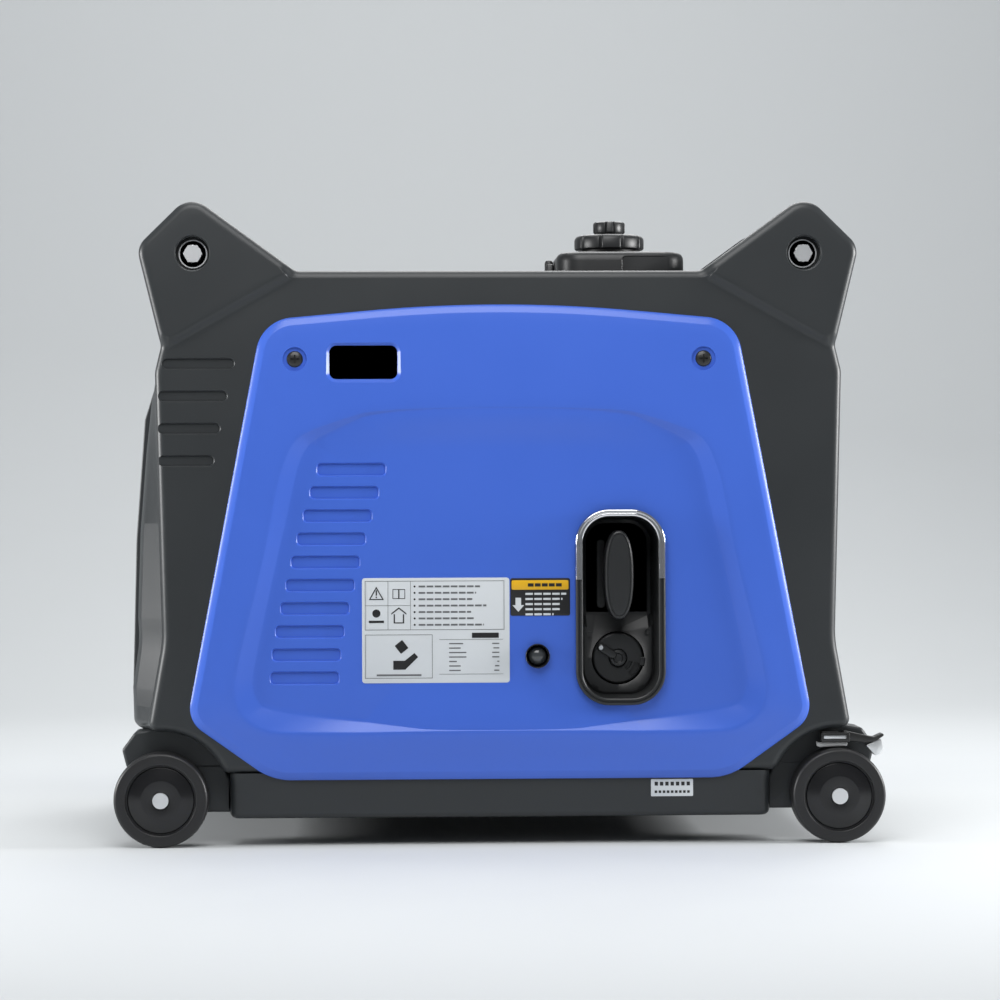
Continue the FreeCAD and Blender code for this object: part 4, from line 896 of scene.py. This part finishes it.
cap = {"x": float(corner("fuel_cap")[0] + corner("fuel_cap", True)[0]) / 2, "radius": 29.3, "low": 480.4,
       "high": 493.0, "lobes": 10, "knobRadius": 13.4, "knobLow": 493.4, "knobHigh": 504.6}


def flatRing(outline, z):
    # a line in X and Y put at a height
    return np.stack([outline[:, 0], outline[:, 1], np.full(len(outline), float(z))], 1)


def lobed(radius, lobes, notch, width, phase):
    # a circle with narrow grooves: each groove is a smooth dip in the radius
    turn = np.linspace(0, 2 * math.pi, 400, endpoint=False)
    pitch = 2 * math.pi / lobes
    away = np.abs((turn - phase + pitch / 2) % pitch - pitch / 2) * radius
    reach = radius - notch * np.exp(-(away / width) ** 2)
    return turn, reach


def fillerCollar():
    # a low rounded box with a bore for the cap, a recess in its front and the tether's post beside it
    outline = evenly(dense(roundRect(cap["x"] + 6, 0, 106, 124, 22, 20)), 360)
    centre = np.array([cap["x"], 0.0])
    loops = [flatRing(inset(outline, 1.5), 449.5), flatRing(outline, 449.5), flatRing(outline, 468),
             flatRing(inset(outline, 0.3), 471.2), flatRing(inset(outline, 1.5), 473.6),
             flatRing(inset(outline, 3.8), 475.2)]
    last = inset(outline, 3.8)
    for share in (0.15, 0.35, 0.6, 0.8):
        loops.append(flatRing(last + (centre - last) * share, 475.2 + 3.6 * math.sin(share * math.pi / 2)))
    loops.append(flatRing(last + (centre - last) * 0.8, 465))
    obj = place("fillerCollar", loft(loops), satinBlack, replaces=("filler_collar",))
    carve(obj, lathe([(0, 440), (22.6, 440), (22.6, 490), (0, 490)], (cap["x"], 0, 0), axis="z"))
    front = roundRect(cap["x"] + 27, 464.5, 42, 15, 4)
    carve(obj, loft([at(front, -70), at(front, -61.4), at(inset(front, 0.8), -60.6)]))
    post = softProfile([(0, 449.6), (3.6, 449.6), (3.6, 470), (2.6, 472), (0, 472.4)], 0.8)
    place("tetherPost", lathe(post, (cap["x"] - 51, 0, 0), axis="z", around=32), satinBlack)
    body = roundRect(cap["x"] - 50.4, 0, 7.4, 16, 2.6)
    place("tetherFoot", loft([flatRing(body, 449.6), flatRing(body, 466), flatRing(inset(body, 0.8), 468.4),
                              flatRing(inset(body, 2.4), 469)]), satinBlack, sharp=40)


def fuelCap():
    # rings that change from a plain circle to the grooved grip and back towards the top
    turn, reach = lobed(cap["radius"], cap["lobes"], 1.5, 1.1, math.pi / 2 + math.pi / cap["lobes"])
    plain = np.full(len(turn), cap["radius"] - 2.2)

    def ringAt(share, offset, z):
        r = reach * share + plain * (1 - share) - offset
        return np.stack([cap["x"] + r * np.cos(turn), r * np.sin(turn), np.full(len(turn), z)], 1)
    low, high = cap["low"], cap["high"]
    rings = [(0, 5, low), (0, 0.4, low), (0.4, 0, low + 0.3), (1, 0.2, low + 1.0), (1, 0, low + 2),
             (1, 0, high - 4.2), (1, 0.5, high - 2.6), (1, 1.6, high - 1.2), (0.7, 3.2, high - 0.3),
             (0.3, 5.4, high), (0, 9, high - 0.1), (0, 10, high - 0.8), (0, 12.2, high - 0.8)]
    place("fuelCap", loft([ringAt(*ring) for ring in rings]), satinBlack, body="fuel_cap",
          replaces=("fuel_cap",), sharp=32)


def ventKnob():
    # a round knob with four ribs, each between two narrow gaps
    turn = np.linspace(0, 2 * math.pi, 360, endpoint=False)
    quarter = np.abs((turn + math.pi / 4) % (math.pi / 2) - math.pi / 4)
    rib = eased((0.235 - quarter) / 0.03)
    gap = np.exp(-((quarter - 0.262) / 0.045) ** 2)
    wide = cap["knobRadius"] - 0.7 + 0.7 * rib - 1.3 * gap

    def ringAt(offset, z, share):
        r = wide * share + (cap["knobRadius"] - 2) * (1 - share) - offset
        return np.stack([cap["x"] + r * np.cos(turn), r * np.sin(turn), np.full(len(turn), z)], 1)
    low, high = cap["knobLow"], cap["knobHigh"]
    rings = [(3, low - 0.8, 0), (1.2, low - 0.8, 0), (0.8, low + 0.6, 0), (0, low + 1.4, 0.6),
             (0, low + 2.4, 1), (0, high - 2.2, 1), (0.5, high - 0.9, 1), (1.6, high - 0.2, 1), (3, high, 0.6),
             (6, high, 0), (7, high - 0.6, 0), (9.4, high - 0.6, 0)]
    place("ventKnob", loft([ringAt(*ring) for ring in rings]), satinBlack, body="vent_knob",
          replaces=("vent_knob",), sharp=34)


fillerCollar()
fuelCap()
ventKnob()
print("filler and cap done")

# ---- handles, bolts, axle ends and screws ----

bolt = {"seat": 197.5, "washer": 11.2, "hex": 7.5, "face": 6.7, "turn": 22}
axleEnd = {"tip": 216.0, "radius": 6.2}


def handles():
    # a rubber tube with fine rings cut in it, and a plain neck at each end
    for side, sign in (("left", -1), ("right", 1)):
        half = []
        for y in np.linspace(0, 112, 57):
            half.append((13.9 - (0.55 if int(y / 2) % 4 == 3 else 0), y))
        half += [(13.9, 114), (13.4, 115.5), (12.0, 116), (11.6, 118), (11.6, 142), (12.2, 146)]
        profile = [(0, -146)] + [(r, -y) for r, y in reversed(half)] + half[1:] + [(0, 146)]
        place(f"{side}Handle", lathe(profile, (sign * shell["boltX"], 0, shell["boltZ"]), around=64),
              rubberBlack, replaces=(f"{side}_handle",), sharp=35)


def hexBolt(x, z, name, way):
    # a washer and a hexagon head whose corners are turned off to a circle
    seat = way * bolt["seat"]
    wide = bolt["washer"]
    washer = softProfile([(0, seat), (wide, seat), (wide, seat + way * 1.2), (wide - 0.6, seat + way * 1.6),
                          (0, seat + way * 1.6)], 0.3)
    place(f"{name}Washer", lathe(washer, (x, 0, z)), zincBright)
    turn = np.radians(np.arange(6) * 60 + bolt["turn"])
    middle = np.array([x, z])
    hexRing = dense(middle + bolt["hex"] * np.stack([np.cos(turn), np.sin(turn)], 1), 0.6)
    reach = np.minimum(np.linalg.norm(hexRing - middle, axis=1), bolt["face"])
    dome = fromRays(reach, middle, directions(hexRing, middle))
    start = seat + way * 1.5
    loops = [at(hexRing, start), at(hexRing, start + way * 4.2)]
    loops += [at(middle + (dome - middle) * share, start + way * lift)
              for share, lift in ((1, 5.0), (0.85, 5.3), (0.5, 4.9))]
    place(f"{name}Head", loft(loops), zincBright, sharp=25)


def allBolts():
    # the handle bolts, and the rounded ends of the axles
    for end, way in (("near", -1), ("far", 1)):
        for side, sign in (("Left", -1), ("Right", 1)):
            hexBolt(sign * shell["boltX"], shell["boltZ"], f"{end}{side}Bolt", way)
            wide = axleEnd["radius"]
            steps = [(0, 20), (wide, 20), (wide, 0.9), (wide - 1.0, 0.1), (2.4, 0), (2.0, 0.4), (0, 0.4)]
            profile = softProfile([(radius, way * (axleEnd["tip"] - back)) for radius, back in steps], 0.3)
            axle = lathe(profile, (sign * shell["wheelX"], 0, shell["wheelZ"]), around=48)
            place(f"{end}{side}AxleEnd", axle, zincBright)


def crossScrews():
    # domed heads with a cross cut in them
    for end, way in (("near", -1), ("far", 1)):
        for side, sign in (("Left", -1), ("Right", 1)):
            x, z, face = sign * panel["screwX"], panel["screwZ"], way * 208.3
            dome = [(0, face), (6.4, face)] + [(6.4 * math.cos(t), face + way * 2.4 * math.sin(t))
                                               for t in np.linspace(0.1, math.pi / 2, 9)]
            obj = place(f"{end}{side}Screw", lathe(dome, (x, 0, z), around=48), blackSteel, sharp=40)
            shallow, deep = sorted((face + way * 1.0, face + way * 4))
            for a, b in ((3.4, 0.6), (0.6, 3.4)):
                carve(obj, boxShape((x - a, shallow, z - b), (x + a, deep, z + b)), sharp=40)
            if end == "near" and sign < 0:
                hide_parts("panel_screws")


brake = {"pin": (271.4, 83.5), "low": -200.5, "high": -188.5, "slot": (263.4, 82.3),
         "arm": [(269.4, 79.5, 1), (288, 77.8, 1), (295.6, 78.6, 4), (302.2, 83.0, 0.6), (302.2, 85.5, 1.2),
                 (294.4, 82.0, 4), (285.4, 84.0, 3), (269.4, 87.5, 2)],
         "shoe": [(288.4, 75.5, 0.5), (295.9, 67, 2), (298.9, 68.5, 2), (301.9, 73, 2), (300.4, 80.5, 1),
                  (294.8, 78.5, 0.5)]}


def brakes():
    # a pedal with a bright plate under it, and its bracket with a slotted face, a bar and a flat spring
    for end, flip in (("near", False), ("far", True)):
        body = f"{end}_brake_lever"
        arm = evenly(dense(roundedOutline(brake["arm"])), 240)
        low, high = brake["low"], brake["high"]
        place(f"{end}BrakePedal", plateShape(arm, low, high, 0.6, 4), blackSteel, body=body,
              replaces=(f"{end}_brake_lever",), sharp=40, mirrorY=flip)
        shoe = evenly(dense(roundedOutline(brake["shoe"])), 200)
        place(f"{end}BrakePlate", plateShape(shoe, low + 1.2, high - 1.2, 0.3), zincBright, body=body,
              sharp=40, mirrorY=flip)
        frameOuter = roundRect(263.6, 82.2, 23, 7.6, 1.6)
        bracket = place(f"{end}BrakeBracket", plateShape(frameOuter, -204, -201.1, 0.6, 4), blackSteel,
                        sharp=40, mirrorY=flip)
        slotHole = roundRect(*brake["slot"], 18.4, 3.2, 0.6)
        carve(bracket, loft([at(slotHole, -206), at(slotHole, -202)]), mirrorY=flip)
        bar = plateShape(roundRect(*brake["slot"], 18, 2.8, 0.5), -202.7, -201.6, 0.2)
        place(f"{end}BrakeBar", bar, zincBright, mirrorY=flip)
        pin = lathe([(0, -201.5), (2, -201.5), (2, -182), (0, -182)], (brake["pin"][0], 0, brake["pin"][1]),
                    around=32)
        block = boxShape((253.6, -201.2, 79), (266.2, -183.6, 87))
        place(f"{end}BrakeBlock", merge(block, pin), blackSteel, mirrorY=flip)
        strip = roundedOutline([(248.6, 75.6, 0.6), (251, 74.6, 1), (272.6, 75.4, 1), (273.2, 78.2, 0.6),
                                (250, 78.4, 1), (248.2, 79.6, 0.4)])
        place(f"{end}BrakeSpring", plateShape(evenly(dense(strip), 160), -203.4, -202.2, 0.2), steelGrey,
              mirrorY=flip)
    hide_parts("brake_brackets")


brakes()
handles()
allBolts()
crossScrews()
print("handles, bolts and screws done")

# ---- pieces that keep the CAD form with soft edges ----

for node, mat, width in (("top_cover", shellBlack, 1.5), ("exhaust_end_cover", shellBlack, 1.2),
                         ("control_end_cover", shellBlack, 1.2), ("control_plate", satinBlack, 0.5),
                         ("power_sockets", glossBlack, 0.4), ("ground_terminal", zincBright, 0.3),
                         ("muffler", steelGrey, 1.0)):
    softened(node, mat, width)
for node, mat, width in (("near_outlet_lid", rubberBlack, 0.8), ("far_outlet_lid", rubberBlack, 0.8),
                         ("engine_switch", switchRed, 0.5), ("economy_switch", glossBlack, 0.5),
                         ("start_button", buttonGreen, 0.6), ("breaker_button", satinBlack, 0.4),
                         ("cap_insert", satinBlack, 0.4)):
    softened(node, mat, width, body=node)
# the nodes that keep their CAD form, nearly all of them inside the case
inside = {"starter_rope": ropeFibre, "fuel_tank": tankPlastic, "recoil_housing": blackSteel,
          "recoil_reel": satinBlack, "engine_block": castAlloy, "cylinder_head": castAlloy,
          "spark_plug": rubberBlack, "crankshaft": steelGrey, "stator": copperWound,
          "engine_mounts": rubberBlack, "inverter_module": castAlloy, "battery": satinBlack,
          "intake_system": satinBlack, "fuel_valve": castAlloy, "indicator_lamps": lampGreen,
          "handle_bolts": zincBright, "axle_bolts": zincBright}
for node, mat in inside.items():
    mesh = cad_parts[node].data
    mesh.materials.clear()
    mesh.materials.append(mat)
print("soft pieces done")

# ---- tray and wheel wells ----

tray = {"length": 424.0, "depth": 409.0, "low": 21.5, "high": 57.0, "round": 9.0, "edge": 5.0,
        "wallFront": -184.8, "wallBack": -150.0}


def trayBody():
    # a shallow tub: rounded bottom edge, straight sides, open at the top
    outline = evenly(dense(roundRect(0, 0, tray["length"], tray["depth"], tray["round"], 16)), 700)
    loops = [flatRing(inset(outline, tray["edge"] + 3), tray["low"])]
    for turn in np.linspace(0, math.pi / 2, 7):
        loops.append(flatRing(inset(outline, tray["edge"] * (1 - math.sin(turn))),
                              tray["low"] + tray["edge"] * (1 - math.cos(turn))))
    loops += [flatRing(outline, tray["high"]), flatRing(inset(outline, 3), tray["high"]),
              flatRing(inset(outline, 3.5), tray["low"] + 6), flatRing(inset(outline, 8), tray["low"] + 3)]
    shelves = [boxShape((x0, -145.8, 54.3), (x1, 145.8, 57.2)) for x0, x1 in ((-275.8, -208), (208, 268.2))]
    place("trayBody", merge(loft(loops), *shelves), shellBlack, replaces=("base_tray",))


def wheelWells():
    # the wall behind each wheel: it fills the arch and flares out past the wheel at the end
    x, z, r = shell["wheelX"], shell["wheelZ"], shell["arch"] + 1.6
    turns = np.radians(np.linspace(18, 101, 30))
    arc = [(x - r * math.cos(turn), z + r * math.sin(turn), 0) for turn in turns]
    # corners from the tray's side, over the arch, to the flare and back under the wheel
    line = [(211.0, 25.2, 0), (211.0, 50.0, 0), *arc, (287.2, 88.6, 5), (297.4, 74.6, 4), (294.0, 61.4, 5),
            (278, 40, 6), (262, 25.2, 3)]
    outline = evenly(dense(roundedOutline(line)), 420)
    for end, flip in (("near", False), ("far", True)):
        for side, sign in (("Left", -1), ("Right", 1)):
            shape = plateShape(outline * [sign, 1], tray["wallFront"], tray["wallBack"], 2.6, 6)
            wall = place(f"{end}{side}Well", shape, shellBlack, sharp=40, mirrorY=flip)
            groove = boxShape((min(sign * 208, sign * 250), tray["wallFront"] - 1, 61.2),
                              (max(sign * 208, sign * 250), tray["wallFront"] + 0.7, 61.9))
            carve(wall, groove, sharp=40, mirrorY=flip)


trayBody()
wheelWells()
print("tray and wheel wells done")

# ---- floor, light and camera ----

# metres: where the floor starts, where it begins to curve up, the curve's radius, its top and its half width
studio = {"start": -6, "bend": 1.4, "radius": 1.6, "top": 6, "half": 7}
view = {"swing": 2.2, "roll": 0.22, "away": 2.61, "height": 0.27, "face": -0.206}  # degrees and metres


def stageAndLights():
    # a floor that curves up into a backdrop, a soft light above, one at each side and two behind
    turn = np.linspace(0, math.pi / 2, 25)
    radius = studio["radius"]
    curve = np.stack([studio["bend"] + radius * np.sin(turn), radius - radius * np.cos(turn)], 1)
    run = np.concatenate([[(studio["start"], 0)], curve, [(studio["bend"] + radius, studio["top"])]])
    points = [(x, y, z) for y, z in run for x in (-studio["half"], studio["half"])]
    faces = [(2 * row, 2 * row + 1, 2 * row + 3, 2 * row + 2) for row in range(len(run) - 1)]
    floorMesh = bpy.data.meshes.new("floor")
    floorMesh.from_pydata(points, [], faces)
    floorMesh.shade_smooth()
    floor = bpy.data.objects.new("floor", floorMesh)
    scene.collection.objects.link(floor)
    floorMesh.materials.append(material("floorPale", (0.56, 0.58, 0.59), 0.75, mottling=0.01))
    world = bpy.data.worlds.new("studio")
    scene.world = world
    world.use_nodes = True
    world.node_tree.nodes["Background"].inputs[0].default_value = (0.8, 0.84, 0.88, 1)
    world.node_tree.nodes["Background"].inputs[1].default_value = 0.22
    for name, spot, aim, size, power in (
            ("keyTop", (-0.1, -0.85, 1.15), (0, -0.2, 0.4), 0.9, 11.2),
            ("leftStrip", (-1.5, -0.3, 0.45), (0, -0.2, 0.25), 0.4, 19),
            ("rightStrip", (1.5, -0.3, 0.5), (0, -0.2, 0.25), 0.4, 26),
            ("backTop", (0.3, 1.2, 1.6), (0, 0, 0.3), 1.2, 18),
            ("backdropWash", (0, 1.0, 3.0), (0, 3.0, 0.9), 2.5, 60)):
        lamp = bpy.data.lights.new(name, "AREA")
        lamp.energy, lamp.size = power, size
        obj = bpy.data.objects.new(name, lamp)
        scene.collection.objects.link(obj)
        obj.location = spot
        obj.rotation_euler = (Vector(aim) - Vector(spot)).to_track_quat("-Z", "Y").to_euler()


def cameraAtEyeLevel():
    # a long lens, low and level, looking a little from the left
    lens = bpy.data.cameras.new("camera")
    lens.lens, lens.sensor_width = 120, 36
    eye = bpy.data.objects.new("camera", lens)
    scene.collection.objects.link(eye)
    swing, away = math.radians(view["swing"]), view["away"]
    eye.location = (-away * math.sin(swing), view["face"] - away * math.cos(swing), view["height"])
    eye.rotation_euler = (math.pi / 2, math.radians(view["roll"]), -swing)
    scene.camera = eye
    scene.view_settings.view_transform = "Standard"


stageAndLights()
cameraAtEyeLevel()
